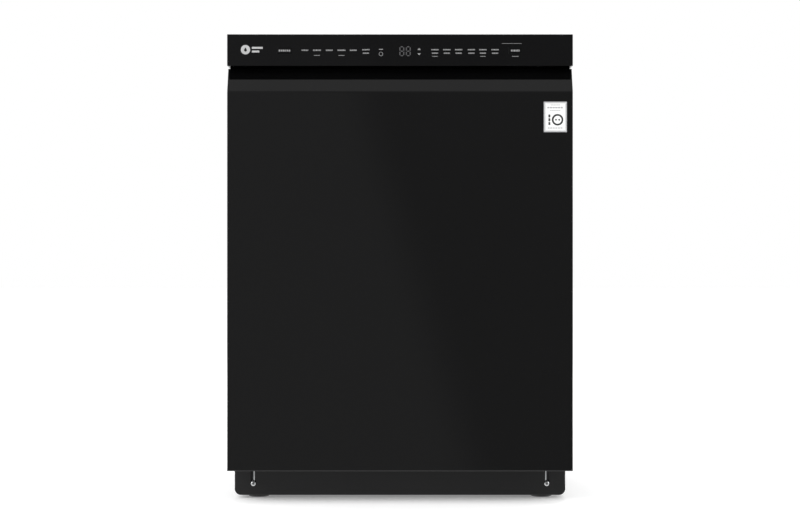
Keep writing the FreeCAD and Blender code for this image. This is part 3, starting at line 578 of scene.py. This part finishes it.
def toe_fixings():
    """Pan-head screws in the toe panel's slots, each over a bright slotted bracket, with painted shade in
    their cross slots.
    """
    low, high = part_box("toe_screws")
    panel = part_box("toe_panel")[0].y
    heads, cross_slot_shade, strips = bmesh.new(), bmesh.new(), bmesh.new()
    radius, z, front = (high.z - low.z) / 2, (high.z + low.z) / 2, low.y
    rim, shank, tail = 2.4 * MM, 2 * MM, 15 * MM
    dome = [(0, 0), (radius * 0.55, 0.12 * MM), (radius * 0.9, 0.7 * MM), (radius, 1.4 * MM),
            (radius, rim), (shank, rim), (shank, tail), (0, tail)]
    slot_long, slot_wide = 4.4, 1.1
    strip_in, strip_half = 1.4 * MM, 1.2 * MM
    for side in (-1, 1):
        x = side * (high.x - radius)
        add_lathe(heads, dome, (x, front, z), "Y", 40)
        # Near-black boxes in each head's cross: painted shade of the slots.
        for wide, tall in ((slot_long, slot_wide), (slot_wide, slot_long)):
            add_box(cross_slot_shade, (x - wide / 2 * MM, front - 0.05 * MM, z - tall / 2 * MM),
                    (x + wide / 2 * MM, front + 0.3 * MM, z + tall / 2 * MM))
        inner = x - side * strip_in
        add_box(strips, (inner - strip_half, panel + 3.2 * MM, z + 4 * MM),
                (inner + strip_half, panel + 4.4 * MM, z + 32 * MM), 0.3 * MM)
    piece("toe_screw_heads", heads, "cabinet", "zinc_screw", ("toe_screws",))
    piece("toe_screw_slot_shade", cross_slot_shade, "cabinet", "painted_shade_and_ink")
    piece("toe_slot_brackets", strips, "cabinet", "zinc_screw")


# ---- inside of the door

def door_liner():
    """Pressed stainless liner with a shallow dished middle and a latch notch."""
    low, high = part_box("door_inner_liner")
    face, half = high.y, high.x
    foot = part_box("door_bottom_seal")[0].z + 29 * MM
    notch, notch_low = 34.2 * MM, high.z - 19.2 * MM
    middle, reach = (foot + high.z) / 2, (high.z - foot) / 2
    rim_wide, press_wide, dish_deep = 24 * MM, 18 * MM, 5 * MM
    rib_high, rib_pitch = 0.8 * MM, 46 * MM

    def place(u, v):
        dish = ramp(u, half - rim_wide, press_wide) * ramp(v - middle, reach - rim_wide, press_wide)
        ribs = rib_high * cos(v / rib_pitch) * ramp(u, half - 60 * MM, 30 * MM) * dish
        return Vector((u, face - dish_deep * dish + ribs * dish, v))

    rim = steps_between(22 * MM, 44 * MM, 22)
    columns = steps_between(-half, half, 60) + [-notch, notch]
    columns = sorted(set(columns + [half - r for r in rim] + [r - half for r in rim]))
    rows = steps_between(foot, high.z, 90) + [notch_low]
    rows = sorted(set(rows + [high.z - r for r in rim] + [foot + r for r in rim]))
    bm = bmesh.new()
    add_sheet(bm, columns, rows, place, STEEL, lambda u, v: abs(u) < notch and v > notch_low)
    skirt = 272 * MM
    add_box(bm, (-skirt, face - STEEL, low.z), (skirt, face, foot + 0.5 * MM), 0.4 * MM)
    top = SKIN[1].z
    for side in (-1, 1):
        inner, outer = sorted((side * (half - STEEL), side * half))
        add_box(bm, (inner, low.y, foot), (outer, face - 0.4 * MM, top))
    piece("liner_sheet", bm, "door", "stainless", ("door_inner_liner",), 25)


def dispenser_details():
    """Marks and ridges on the dispenser, its lid and the rinse-aid cap."""
    low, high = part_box("detergent_lid")
    first, pitch, margin = 20 * MM, 9 * MM, 14 * MM
    bm = bmesh.new()
    for i in range(5):
        x = low.x + first + pitch * i
        add_box(bm, (x, high.y - 2.8 * MM, low.z + margin),
                (x + 2 * MM, high.y - 1.9 * MM, high.z - margin), 0.4 * MM)
    piece("detergent_lid_ribs", bm, "detergent_lid", "light_plastic")
    low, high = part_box("rinse_cap")
    cx, cz = (low.x + high.x) / 2, (low.z + high.z) / 2
    ring, root = 16.2 * MM, high.y - 5.4 * MM
    peg = in_mm((0, 0), (0.9, 0), (0.9, 2.0), (0, 2.2))
    bm = bmesh.new()
    for turn in turns_of(24):
        add_lathe(bm, peg, (cx + cos(turn) * ring, root, cz + sin(turn) * ring), "Y", 8)
    piece("rinse_cap_knurl", bm, "rinse_cap", "light_plastic")
    window = (cx + 32 * MM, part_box("dispenser_body")[1].y - 0.2 * MM, cz)
    bm = bmesh.new()
    add_band(bm, 5 * MM, 6.4 * MM, 0, 0.8 * MM, window, "Y", 32)
    add_lathe(bm, in_mm((0, 0), (4.4, 0), (3.8, 0.7), (0, 0.9)), window, "Y", 32)
    piece("rinse_level_window", bm, "door", "black_plastic")


# ---- tub

def tub_wrap():
    """Wrapped stainless sheet with rounded top corners and pressed beads along its sides."""
    low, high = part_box("tub_shell")
    half, top, rear = high.x - STEEL, high.z - STEEL, high.y - STEEL
    corner, grid = 24 * MM, 7 * MM
    path = rounded_path([(-half, 0, low.z), (-half, 0, top), (half, 0, top), (half, 0, low.z)], corner, 10)
    dense = divided(path, grid)
    side_top, roof_half = top - 30 * MM, half - 30 * MM
    bead_half, bead_blend, bead_deep = 9 * MM, 8 * MM, 2.2 * MM
    middle, reach = (low.y + rear) / 2, (rear - low.y) / 2

    def place(u, v):
        spot = dense[u]
        on_side = spot.z < side_top
        where, beads = (spot.z, (345, 455, 690)) if on_side else (spot.x, (-170, 0, 170))
        inward = sum(ramp(where - bead * MM, bead_half, bead_blend) for bead in beads)
        if not on_side and abs(spot.x) >= roof_half:
            inward = 0.0
        inward *= ramp(v - middle, reach - 34 * MM, 20 * MM) * bead_deep
        towards = Vector((-copysign(1, spot.x), 0, 0)) if on_side else Vector((0, 0, -1))
        return Vector((spot.x, v, spot.z)) + towards * inward

    bm = bmesh.new()
    add_sheet(bm, list(range(len(dense))), steps_between(low.y, rear, 70), place, -STEEL)
    piece("tub_wrap", bm, "cabinet", "stainless", ("tub_shell",), 25)
    margin, press_wide, dish_deep = 40 * MM, 18 * MM, 0.9 * MM
    middle_z, reach_z = (low.z + top) / 2, (top - low.z) / 2

    def rear_place(u, v):
        dish = ramp(u, half - margin, press_wide) * ramp(v - middle_z, reach_z - margin, press_wide)
        return Vector((u, rear - 0.2 * MM + dish_deep * dish, v))

    bm = bmesh.new()
    add_sheet(bm, steps_between(-half, half, 60), steps_between(low.z, top, 70), rear_place, 0.8 * MM)
    piece("tub_rear", bm, "cabinet", "stainless", (), 25)


def tub_basin():
    """Tub floor with level wheel tracks and a shallow fall to the sump."""
    low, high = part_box("tub_floor")
    sump_low, sump_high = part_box("filter_plate")
    sump_y = (sump_low.y + sump_high.y) / 2
    mouth = (sump_high.x - sump_low.x) / 2 + 0.9 * MM
    lip_half, tub_front = 274 * MM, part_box("tub_shell")[0].y
    bowl, bowl_blend, track, track_blend, fall = 205 * MM, 60 * MM, 222 * MM, 30 * MM, 0.9 * MM

    def place(u, v):
        away = hypot(u, v - sump_y)
        share = ramp(away, bowl, bowl_blend) * ramp(u, track, track_blend)
        return Vector((u, v, high.z - fall * share))

    def open_at(u, v):
        in_sump = hypot(u, v - sump_y) < mouth - 2 * MM
        beside_lip = v < tub_front and abs(u) > lip_half
        return in_sump or beside_lip

    columns = sorted(set(steps_between(low.x, high.x, 110) + [-lip_half, lip_half]))
    rows = sorted(set(steps_between(low.y, high.y, 104) + [tub_front]))
    bm = bmesh.new()
    add_sheet(bm, columns, rows, place, 0.6 * MM, open_at)
    flange = mouth + 9 * MM
    collar = [(mouth - 0.4 * MM, low.z), (flange, low.z), (flange, high.z - 0.2 * MM),
              (mouth + 6 * MM, high.z + 0.4 * MM), (mouth, high.z - 0.6 * MM)]
    add_lathe(bm, collar, (0, sump_y, 0), "Z", 96)
    piece("tub_basin", bm, "cabinet", "stainless", ("tub_floor",), 25)


def blanket():
    """Quilted felt wrapped over the tub's top and sides, with a panel behind."""
    low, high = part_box("insulation_blanket")
    thick, puff_room = 5.2 * MM, 1.4 * MM
    half, top = high.x - thick - puff_room, high.z - thick - puff_room
    front, rear = low.y, high.y
    path = rounded_path([(-half, 0, low.z), (-half, 0, top), (half, 0, top), (half, 0, low.z)], 9 * MM, 6)
    dense = divided(path, 9 * MM)
    lengths = [0.0]
    for a, b in zip(dense, dense[1:]):
        lengths.append(lengths[-1] + (b - a).length)
    quilt, crown, ruffle = 118 * MM, 1.2 * MM, 0.12

    def puff(u, v):
        """How far the quilt stands proud, falling to its stitched lines."""
        rise = abs(sin(pi * u / quilt)) ** 0.45 * abs(sin(pi * v / quilt)) ** 0.45
        return rise * crown + random.uniform(-ruffle, ruffle) * MM

    def place(u, v):
        spot = dense[u]
        on_side = spot.z < top - 5 * MM
        out = Vector((copysign(1, spot.x), 0, 0)) if on_side else Vector((0, 0, 1))
        return Vector((spot.x, v, spot.z)) + out * puff(lengths[u], v - front)

    margin = 2 * MM
    bm = bmesh.new()
    add_sheet(bm, list(range(len(dense))), steps_between(front + margin, rear - margin, 56), place, thick)
    wrap = piece("blanket_wrap", bm, "cabinet", "blanket", ("insulation_blanket",), 60)
    back_half, back_top = 286 * MM, 795 * MM
    bm = bmesh.new()
    add_sheet(bm, steps_between(-back_half, back_half, 66), steps_between(low.z + margin, back_top, 74),
              lambda u, v: Vector((u, rear - 4 * MM + puff(u, v - low.z), v)), 6 * MM)
    back = piece("blanket_rear", bm, "cabinet", "blanket", (), 60)


def coil_springs():
    """Counterbalance springs: coils of wire with their turns closed up at each end."""
    low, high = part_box("springs")
    z, outer = (low.z + high.z) / 2, (high.z - low.z) / 2
    middle, length = high.x - outer, high.y - low.y
    wire, turns, steps_a_turn, closed_ends = 1.0 * MM, 15, 24, 0.035
    steps = steps_a_turn * turns
    for side, name in ((-1, "left"), (1, "right")):
        points = []
        for i in range(steps + 1):
            t = i / steps
            ease = t - closed_ends * sin(2 * pi * t) / pi
            angle = 2 * pi * turns * t
            points.append((side * middle + cos(angle) * (outer - wire),
                           low.y + wire + (length - 2 * wire) * ease, z + sin(angle) * (outer - wire)))
        bm = bmesh.new()
        add_wires(bm, [(points, False)], wire, 3)
        stands_for = ("springs",) if side < 0 else ()
        spring = piece(f"spring_{name}", bm, "cabinet", "spring_steel", stands_for)
        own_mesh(spring)


# ---- spray arms and filter

def spray_arm(node, bore):
    """Hollow-looking moulded arm: long domed blades, a hub ring and two rows of nozzles, with painted shade
    in their bores.
    """
    low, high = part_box(node)
    centre = (low + high) / 2
    base, top = low.z + 3 * MM, high.z - 3 * MM
    reach, short = (high.x - low.x) / 2, (high.y - low.y) / 2
    sides, keel, blade_base = 16, 1.2 * MM, base + 1.2 * MM
    round_from, taper = 0.93, 0.25
    bm = bmesh.new()
    for along, tip in ((0, reach), (1, short)):
        rings = []
        for s in steps_between(-tip, tip, 36):
            t = abs(s) / tip
            end = sqrt(max(0.0, 1 - (max(0.0, t - round_from) / (1 - round_from)) ** 2))
            wide = (24 - 7 * t) * MM * max(end, 0.25)
            tall = (top - base) * (1 - taper * t) * max(end, 0.3)
            ring = []
            for angle in turns_of(sides):
                across = wide * copysign(abs(cos(angle)) ** 0.6, cos(angle))
                rise = sin(angle)
                up = rise ** 0.8 * tall if rise > 0 else rise * keel
                spot = (s, across) if along == 0 else (-across, s)
                ring.append(bm.verts.new((centre.x + spot[0], centre.y + spot[1], blade_base + up * 0.88)))
            rings.append(ring)
        for a, b in zip(rings, rings[1:]):
            for k in range(sides):
                after = (k + 1) % sides
                bm.faces.new((a[k], b[k], b[after], a[after]))
        bm.faces.new(rings[0])
        bm.faces.new(rings[-1][::-1])
    hub_radius, hub_foot, hub_shoulder = 20.5 * MM, low.z + 2 * MM, high.z - 2.5 * MM
    hub = [(bore, low.z), (19 * MM, low.z), (hub_radius, hub_foot), (hub_radius, hub_shoulder),
           (18.5 * MM, high.z), (bore, high.z)]
    add_lathe(bm, hub, (centre.x, centre.y, 0), "Z", 48)
    piece(f"{node}_shape", bm, node, "grey_plastic", (node,))
    nozzles, painted_hole_shade = bmesh.new(), bmesh.new()
    jet, nozzle = 1.6 * MM, in_mm((1.6, -1.5), (3.4, -1.5), (3.0, 1.1), (1.6, 1.1))
    first, pitch, stagger = 0.24, 0.145, 6 * MM
    spots = [side * (first + pitch * i) * reach for i in range(6) for side in (-1, 1)]
    for i, s in enumerate(spots):
        y = centre.y + (stagger if i % 2 else -stagger)
        z = blade_base + (top - base) * (1 - taper * abs(s) / reach) * 0.86
        add_lathe(nozzles, nozzle, (s, y, z), "Z", 20)
        # A near-black disc in each nozzle's bore: painted shade of the opening.
        add_band(painted_hole_shade, 0, jet, -0.4 * MM, 0.3 * MM, (s, y, z), "Z", 16)
    piece(f"{node}_nozzles", nozzles, node, "light_plastic")
    piece(f"{node}_jet_shade", painted_hole_shade, node, "painted_shade_and_ink")


# ---- racks

def basket_paths(low, high):
    """Runs of the bent wires of a basket, along and across it, and its hoops."""
    across, along, r = 14, 12, 1.6 * MM
    margin, bend, corner = 12 * MM, 7 * MM, 14 * MM
    x0, x1, y0, y1, z0, z1 = low.x + r, high.x - r, low.y + r, high.y - r, low.z + r, high.z - r
    thin, hoops = [], []
    for y in steps_between(y0 + margin, y1 - margin, along):
        run = [(x0, y, z1), (x0, y, z0), (x1, y, z0), (x1, y, z1)]
        thin.append((rounded_path(run, bend, 4), False))
    for x in steps_between(x0 + margin, x1 - margin, across):
        run = [(x, y0, z1), (x, y0, z0 + r), (x, y1, z0 + r), (x, y1, z1)]
        thin.append((rounded_path(run, bend, 4), False))
    for share in (0.0, 0.36, 0.7, 1.0):
        z = z0 + (z1 - z0) * share
        loop = [(x0, y0, z), (x1, y0, z), (x1, y1, z), (x0, y1, z)]
        hoops.append((rounded_path(loop, corner, 6, True), True))
    return thin, hoops


def tine_row(x, ys, z, height, lean=0.0):
    """Runs of a row of upright pins, each leaning over by a distance."""
    bend = 0.6
    return [([(x, y, z), (x + lean * bend, y, z + height * bend), (x + lean, y, z + height)], False)
            for y in ys]


def wire_basket(level, low, high, tines, wire, hoop):
    """A basket's wires with its front grip and the caps on its corners."""
    body = f"{level}_rack"
    thin, hoops = basket_paths(low, high)
    bm = bmesh.new()
    add_wires(bm, thin + tines, wire)
    add_wires(bm, hoops, hoop)
    piece(f"{level}_basket_wires", bm, body, "rack_vinyl", (f"{body}_basket",), 60)
    rack_grip(body, low, high)
    corner_caps(body, low, high)


def upper_rack():
    """Upper basket with three rows of low leaning pins."""
    low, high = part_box("upper_rack_basket")
    margin, tines = 40 * MM, []
    for x in (-95 * MM, 0, 95 * MM):
        ys = steps_between(low.y + margin, high.y - margin, 12)
        tines += tine_row(x, ys, low.z + 2 * MM, 46 * MM, 5 * MM)
    wire_basket("upper", low, high, tines, 1.5 * MM, 2.0 * MM)


def rack_grip(body, low, high):
    """Moulded grip clipped over the front rim of a basket."""
    z, front, rear, half = high.z - 9 * MM, low.y - 4 * MM, low.y + 6 * MM, 92 * MM
    outline = [(0, front, z - 11 * MM), (0, front, z + 9 * MM), (0, rear, z + 9 * MM), (0, rear, z - 11 * MM)]
    bm = bmesh.new()
    add_prism(bm, [(p.y, p.z) for p in rounded_path(outline, 3 * MM, 4, True)], "X", -half, half)
    bevel_sharp(bm, 1.2 * MM)
    rib_half, pitch = 4 * MM, 16 * MM
    for i in range(-4, 5):
        x = pitch * i
        add_box(bm, (x - rib_half, low.y - 4.7 * MM, z - 6 * MM),
                (x + rib_half, low.y - 3.6 * MM, z + 3 * MM), 0.5 * MM)
    piece(f"{body}_grip", bm, body, "grey_plastic")


def corner_caps(body, low, high):
    """Rounded caps on a basket's upper corners."""
    cap = in_mm((0, -14), (3.4, -14), (4.2, -12), (4.2, -1.5), (3.2, -0.2), (0, 0))
    edge, inset = 2 * MM, 4.2 * MM
    bm = bmesh.new()
    for x in (low.x + edge, high.x - edge):
        for y in (low.y + edge, high.y - edge):
            add_lathe(bm, cap, (x - copysign(inset, x), y - copysign(inset, y), high.z), "Z", 20)
    piece(f"{body}_tips", bm, body, "grey_plastic")


def lower_rack():
    """Lower basket with three rows of plate pins and its wheel carriers."""
    low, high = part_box("lower_rack_basket")
    pan = Vector((low.x, low.y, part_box("cutlery_basket")[0].z - 5.0 * MM))
    pins_low, pins_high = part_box("lower_fold_pins")
    margin, tines = 10 * MM, []
    for x in (-180 * MM, 35 * MM, 225 * MM):
        ys = steps_between(pins_low.y + margin, pins_high.y - margin, 12)
        tines += tine_row(x, ys, pan.z + 2 * MM, 84 * MM)
    wire_basket("lower", pan, high, tines, 1.6 * MM, 2.2 * MM)
    wheel_carriers(pan.z)


def wheel_carriers(pan):
    """Plates under the lower basket's pan, each with the axle of a wheel and its end cap."""
    spindle = in_mm((0, 0), (3, 0), (3, 13), (4.6, 13), (4.6, 14.4), (0, 14.4))
    foot_half, top_half, thick = 9 * MM, 12 * MM, 2.6 * MM
    bm = bmesh.new()
    for node in ("wheels_front", "wheels_rear"):
        low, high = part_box(node)
        y, z = (low.y + high.y) / 2, (low.z + high.z) / 2
        foot, top = z - 8 * MM, pan + 8 * MM
        outline = rounded_path([(0, y - foot_half, foot), (0, y + foot_half, foot),
                                (0, y + top_half, top), (0, y - top_half, top)], 5 * MM, 5, True)
        for side in (-1, 1):
            inner = side * (high.x - 12 * MM)
            add_prism(bm, [(p.y, p.z) for p in outline], "X", inner, inner + side * thick)
            add_lathe(bm, [(radius, side * run) for radius, run in spindle], (inner, y, z), "X", 28)
    piece("wheel_carriers", bm, "lower_rack", "grey_plastic")


def rack_wheels(node):
    """Grooved wheels with an open web of spokes."""
    low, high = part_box(node)
    y, z = (low.y + high.y) / 2, (low.z + high.z) / 2
    radius, half = (high.z - low.z) / 2, 4 * MM
    rim = [(radius - 3.4 * MM, -half), (radius - 0.6 * MM, -half), (radius, -half + 0.7 * MM),
           (radius, -1.1 * MM), (radius - 1.2 * MM, -0.8 * MM)]
    rim += [(out, -along) for out, along in reversed(rim)]
    spoke_wide, spoke_thick = 1.6 * MM, 1.1 * MM
    bm = bmesh.new()
    for side in (-1, 1):
        x = side * (high.x - half)
        add_lathe(bm, rim, (x, y, z), "X", 48)
        add_band(bm, 3.1 * MM, 5.6 * MM, -half, half, (x, y, z), "X", 32)
        for turn in turns_of(6):
            made = bmesh.new()
            add_box(made, (x - spoke_wide, -spoke_thick, 5 * MM),
                    (x + spoke_wide, spoke_thick, radius - 3 * MM), 0.3 * MM)
            made.transform(Matrix.Translation((0, y, z)) @ Matrix.Rotation(turn, 4, "X"))
            spoke = bpy.data.meshes.new("spoke")
            made.to_mesh(spoke)
            made.free()
            bm.from_mesh(spoke)
            bpy.data.meshes.remove(spoke)
    piece(f"{node}_spoked", bm, node, "grey_plastic", (node,))


def fold_pins():
    """Turning rod with its row of plate pins and two clips."""
    low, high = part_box("lower_fold_pins")
    x, z = (low.x + high.x) / 2, low.z + 1.8 * MM
    margin, clip_in, clip_wide, clip_long = 10 * MM, 40 * MM, 3 * MM, 4 * MM
    rod = [([(x, low.y, z), (x, high.y, z)], False)]
    tines = tine_row(x, steps_between(low.y + margin, high.y - margin, 12), z, high.z - z - 1.6 * MM)
    bm = bmesh.new()
    add_wires(bm, rod + tines, 1.7 * MM)
    for y in (low.y + clip_in, high.y - clip_in):
        add_box(bm, (x - clip_wide, y - clip_long, z - 1.8 * MM),
                (x + clip_wide, y + clip_long, z + 3 * MM), 0.8 * MM)
    piece("lower_fold_pins_wires", bm, "lower_fold_pins", "rack_vinyl", ("lower_fold_pins",), 60)


def cup_shelf(node):
    """Wire shelf with a bent rim and cross bars."""
    low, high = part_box(node)
    z, edge, margin = (low.z + high.z) / 2, 2 * MM, 25 * MM
    x0, x1, y0, y1 = low.x + edge, high.x - edge, low.y + edge, high.y - edge
    rim = rounded_path([(x0, y0, z), (x1, y0, z), (x1, y1, z), (x0, y1, z)], 10 * MM, 6, True)
    bars = [([(x0, y, z), (x1, y, z)], False) for y in steps_between(low.y + margin, high.y - margin, 10)]
    bm = bmesh.new()
    add_wires(bm, [(rim, True)], 1.6 * MM)
    add_wires(bm, bars, 1.3 * MM)
    piece(f"{node}_wires", bm, node, "rack_vinyl", (node,), 60)


def cutlery_basket():
    """Moulded open lattice with four cells between its bands and posts."""
    low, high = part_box("cutlery_basket")
    bm = bmesh.new()
    skin, post = 2.4 * MM, 1.2 * MM
    sides = ((low.x, low.x + skin), (high.x - skin, high.x))
    walls = steps_between(low.y + skin / 2, high.y - skin / 2, 4)
    for z, tall in ((low.z, 8), (low.z + 45 * MM, 5), (low.z + 84 * MM, 5), (high.z - 9 * MM, 9)):
        for x0, x1 in sides:
            add_box(bm, (x0, low.y, z), (x1, high.y, z + tall * MM), 0.6 * MM)
        for y in walls:
            add_box(bm, (low.x, y - skin / 2, z), (high.x, y + skin / 2, z + tall * MM), 0.6 * MM)
    for y in steps_between(low.y + post, high.y - post, 20):
        for x0, x1 in sides:
            add_box(bm, (x0, y - post, low.z), (x1, y + post, high.z), 0.5 * MM)
        add_box(bm, (low.x, y - post, low.z), (high.x, y + post, low.z + skin), 0.4 * MM)
    for x in steps_between(low.x + post, high.x - post, 6):
        for y in walls:
            add_box(bm, (x - post, y - skin / 2, low.z), (x + post, y + skin / 2, high.z), 0.5 * MM)
        add_box(bm, (x - post, low.y, low.z), (x + post, high.y, low.z + skin), 0.4 * MM)
    piece("cutlery_basket_lattice", bm, "lower_rack", "grey_plastic", ("cutlery_basket",))


# ---- machine room

def pump_details():
    """Cooling ribs on the two pumps and clamp bands on their hose joints."""
    circulation = ((104, 75, 62), 12, 7, (33, 36), 1.2, 56)
    drain = ((-162, -60, 58), 6, 8, (19, 21.6), 1, 40)
    bm = bmesh.new()
    for (x, y, z), count, pitch, (inner, outer), half, steps in (circulation, drain):
        for i in range(count):
            add_band(bm, inner * MM, outer * MM, -half * MM, half * MM,
                     ((x + pitch * i) * MM, y * MM, z * MM), "X", steps)
    piece("pump_ribs", bm, "cabinet", "black_plastic")
    half = 3.5 * MM
    bm = bmesh.new()
    for x, y, z, radius, axis in ((54, 75, 62, 12.4, "X"), (30, 52, 62, 13.4, "Y"), (-68, -60, 58, 9.4, "X")):
        add_band(bm, (radius - 0.4) * MM, (radius + 0.8) * MM, -half, half,
                 (x * MM, y * MM, z * MM), axis, 40)
    piece("hose_clamps", bm, "cabinet", "zinc_screw")


def inlet_thread():
    """Turned ridges of the inlet's male thread."""
    mouth, first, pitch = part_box("inlet_valve")[1].y, 2.4 * MM, 1.8 * MM
    ridge = in_mm((12.6, -0.8), (13.3, 0), (12.6, 0.8), (12, 0))
    bm = bmesh.new()
    for i in range(7):
        add_lathe(bm, ridge, (-200 * MM, mouth - first - pitch * i, 42 * MM), "Y", 48)
    piece("inlet_thread", bm, "cabinet", "light_plastic")


def foot_thread(node):
    """Fine rings of a foot's threaded stem."""
    low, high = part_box(node)
    centre, first, pitch = (low + high) / 2, 52 * MM, 1.5 * MM
    ridge = in_mm((4.5, -0.7), (5.03, 0), (4.5, 0.7), (4.2, 0))
    bm = bmesh.new()
    for i in range(24):
        add_lathe(bm, ridge, (centre.x, centre.y, low.z + first + pitch * i), "Z", 28)
    piece(f"{node}_thread", bm, node, "black_plastic")


# ---- making it all

FEET = ("foot_front_left", "foot_front_right", "foot_rear_left", "foot_rear_right")

# Width of the rounded edges of each CAD node, in mm.
SOFT_EDGES = dict(
    control_panel=0.8, handle_pocket=0.5, power_key=0.4, start_key=0.4, toe_panel=0.5,
    hinge_arms=0.4, hinge_brackets=0.3, latch_housing=0.8, latch_lever=0.4, dispenser_body=1.5,
    detergent_lid=0.9, rinse_cap=0.8, dispenser_button=1.0, door_vent=0.7,
    door_bottom_seal=0.7, base_pan=1.0, chassis_frame=0.7, countertop_brackets=0.4,
    spring_rods=0.3, junction_box=0.5, inlet_valve=0.6, drain_port=0.4,
    tub_front_frame=0.9, door_seal=1.0, sump=0.8, filter_cylinder=0.6, lower_arm_hub=0.8,
    circulation_pump=1.0, drain_pump=0.8, feed_pipe=2.0, float_cap=0.8, upper_rails=0.3,
    upper_slides=0.6, upper_rack_carriers=1.2, upper_arm_feed=0.8, door_screws=0.5,
    control_board=0.2, **dict.fromkeys(FEET, 0.6),
)


def make_object():
    for node, width in SOFT_EDGES.items():
        soften(node, width * MM)
    soften("filter_plate", 0.3 * MM, look="perforated")
    door_skin()
    console_print()
    front_label()
    toe_fixings()
    door_liner()
    dispenser_details()
    tub_wrap()
    tub_basin()
    blanket()
    coil_springs()
    for node, bore in (("lower_spray_arm", 8.2 * MM), ("upper_spray_arm", 6.2 * MM)):
        spray_arm(node, bore)
    upper_rack()
    lower_rack()
    for node in ("wheels_front", "wheels_rear"):
        rack_wheels(node)
    fold_pins()
    for node in ("cup_shelf_left", "cup_shelf_right"):
        cup_shelf(node)
    cutlery_basket()
    pump_details()
    inlet_thread()
    for node in FEET:
        foot_thread(node)


# ---- studio

def floor():
    """Pale floor with a faint glow, left out of the door's mirror images."""
    bm = bmesh.new()
    bmesh.ops.create_grid(bm, x_segments=1, y_segments=1, size=30)
    mesh = bpy.data.meshes.new("floor")
    bm.to_mesh(mesh)
    bm.free()
    made = placed("floor", mesh)
    pale = finish("pale_floor", (0.9, 0.9, 0.9), 0.8, spread=0.01, cloud=0.5, grain=60,
                  bump=0.02, specular=0.05)
    glow = {"Emission Color": (1, 1, 1, 1), "Emission Strength": 0.22}
    set_inputs(pale.node_tree.nodes["Principled BSDF"], glow)
    mesh.materials.append(pale)
    made.visible_glossy = False


def surroundings():
    """White room that dims behind the camera, a little more on one side than on the other."""
    world = bpy.data.worlds.new("studio")
    bpy.context.scene.world = world
    world.use_nodes = True
    tree = world.node_tree
    background = tree.nodes["Background"]
    where = tree.nodes.new("ShaderNodeTexCoord")
    split = tree.nodes.new("ShaderNodeSeparateXYZ")
    tree.links.new(where.outputs["Generated"], split.inputs["Vector"])
    depth = mapped(tree, split.outputs["Y"], 0.0, 1.0, -1.0, 0.0)
    edge = tree.nodes.new("ShaderNodeMath")
    edge.operation = "MULTIPLY_ADD"
    edge.inputs[1].default_value = 0.2
    tree.links.new(split.outputs["Z"], edge.inputs[0])
    tree.links.new(split.outputs["X"], edge.inputs[2])
    both = tree.nodes.new("ShaderNodeMix")
    both.data_type = "RGBA"
    tree.links.new(mapped(tree, edge.outputs[0], 0.0, 1.0, -0.008, 0.014), both.inputs[0])
    for socket, behind, beside in ((6, 0.48, 1.0), (7, 0.33, 0.82)):
        stops = ((0.0, (behind,) * 3), (0.5, (beside,) * 3), (1.0, (1.0,) * 3))
        tree.links.new(toned(tree, depth, stops), both.inputs[socket])
    tree.links.new(both.outputs[2], background.inputs["Color"])


def studio():
    """Floor, surroundings and soft area lights."""
    floor()
    surroundings()
    aim = Vector((0, 0, 0.4))
    for name, spot, power, wide in (("key", (-2.6, -3.4, 2.6), 110, 2.2), ("fill", (2.8, -2.6, 1.8), 45, 2.4),
                                    ("rear", (0.5, 3.2, 2.8), 60, 2.4)):
        light = bpy.data.lights.new(name, "AREA")
        light.energy = power
        light.size = wide
        lamp = placed(name, light)
        lamp.location = spot
        lamp.rotation_euler = (aim - Vector(spot)).to_track_quat("-Z", "Y").to_euler()


def camera():
    """Square on to the door, level, from a little over three metres."""
    eye = bpy.data.cameras.new("camera")
    eye.sensor_width = 36
    eye.lens = 82.6
    rig = placed("camera", eye)
    distance, height = 3.2, 0.4167
    rig.location = (0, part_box("front_label")[0].y - distance, height)
    rig.rotation_euler = (pi / 2, 0, 0)
    bpy.context.scene.camera = rig


camera()
studio()
make_object()
bpy.context.scene.view_settings.view_transform = "Standard"
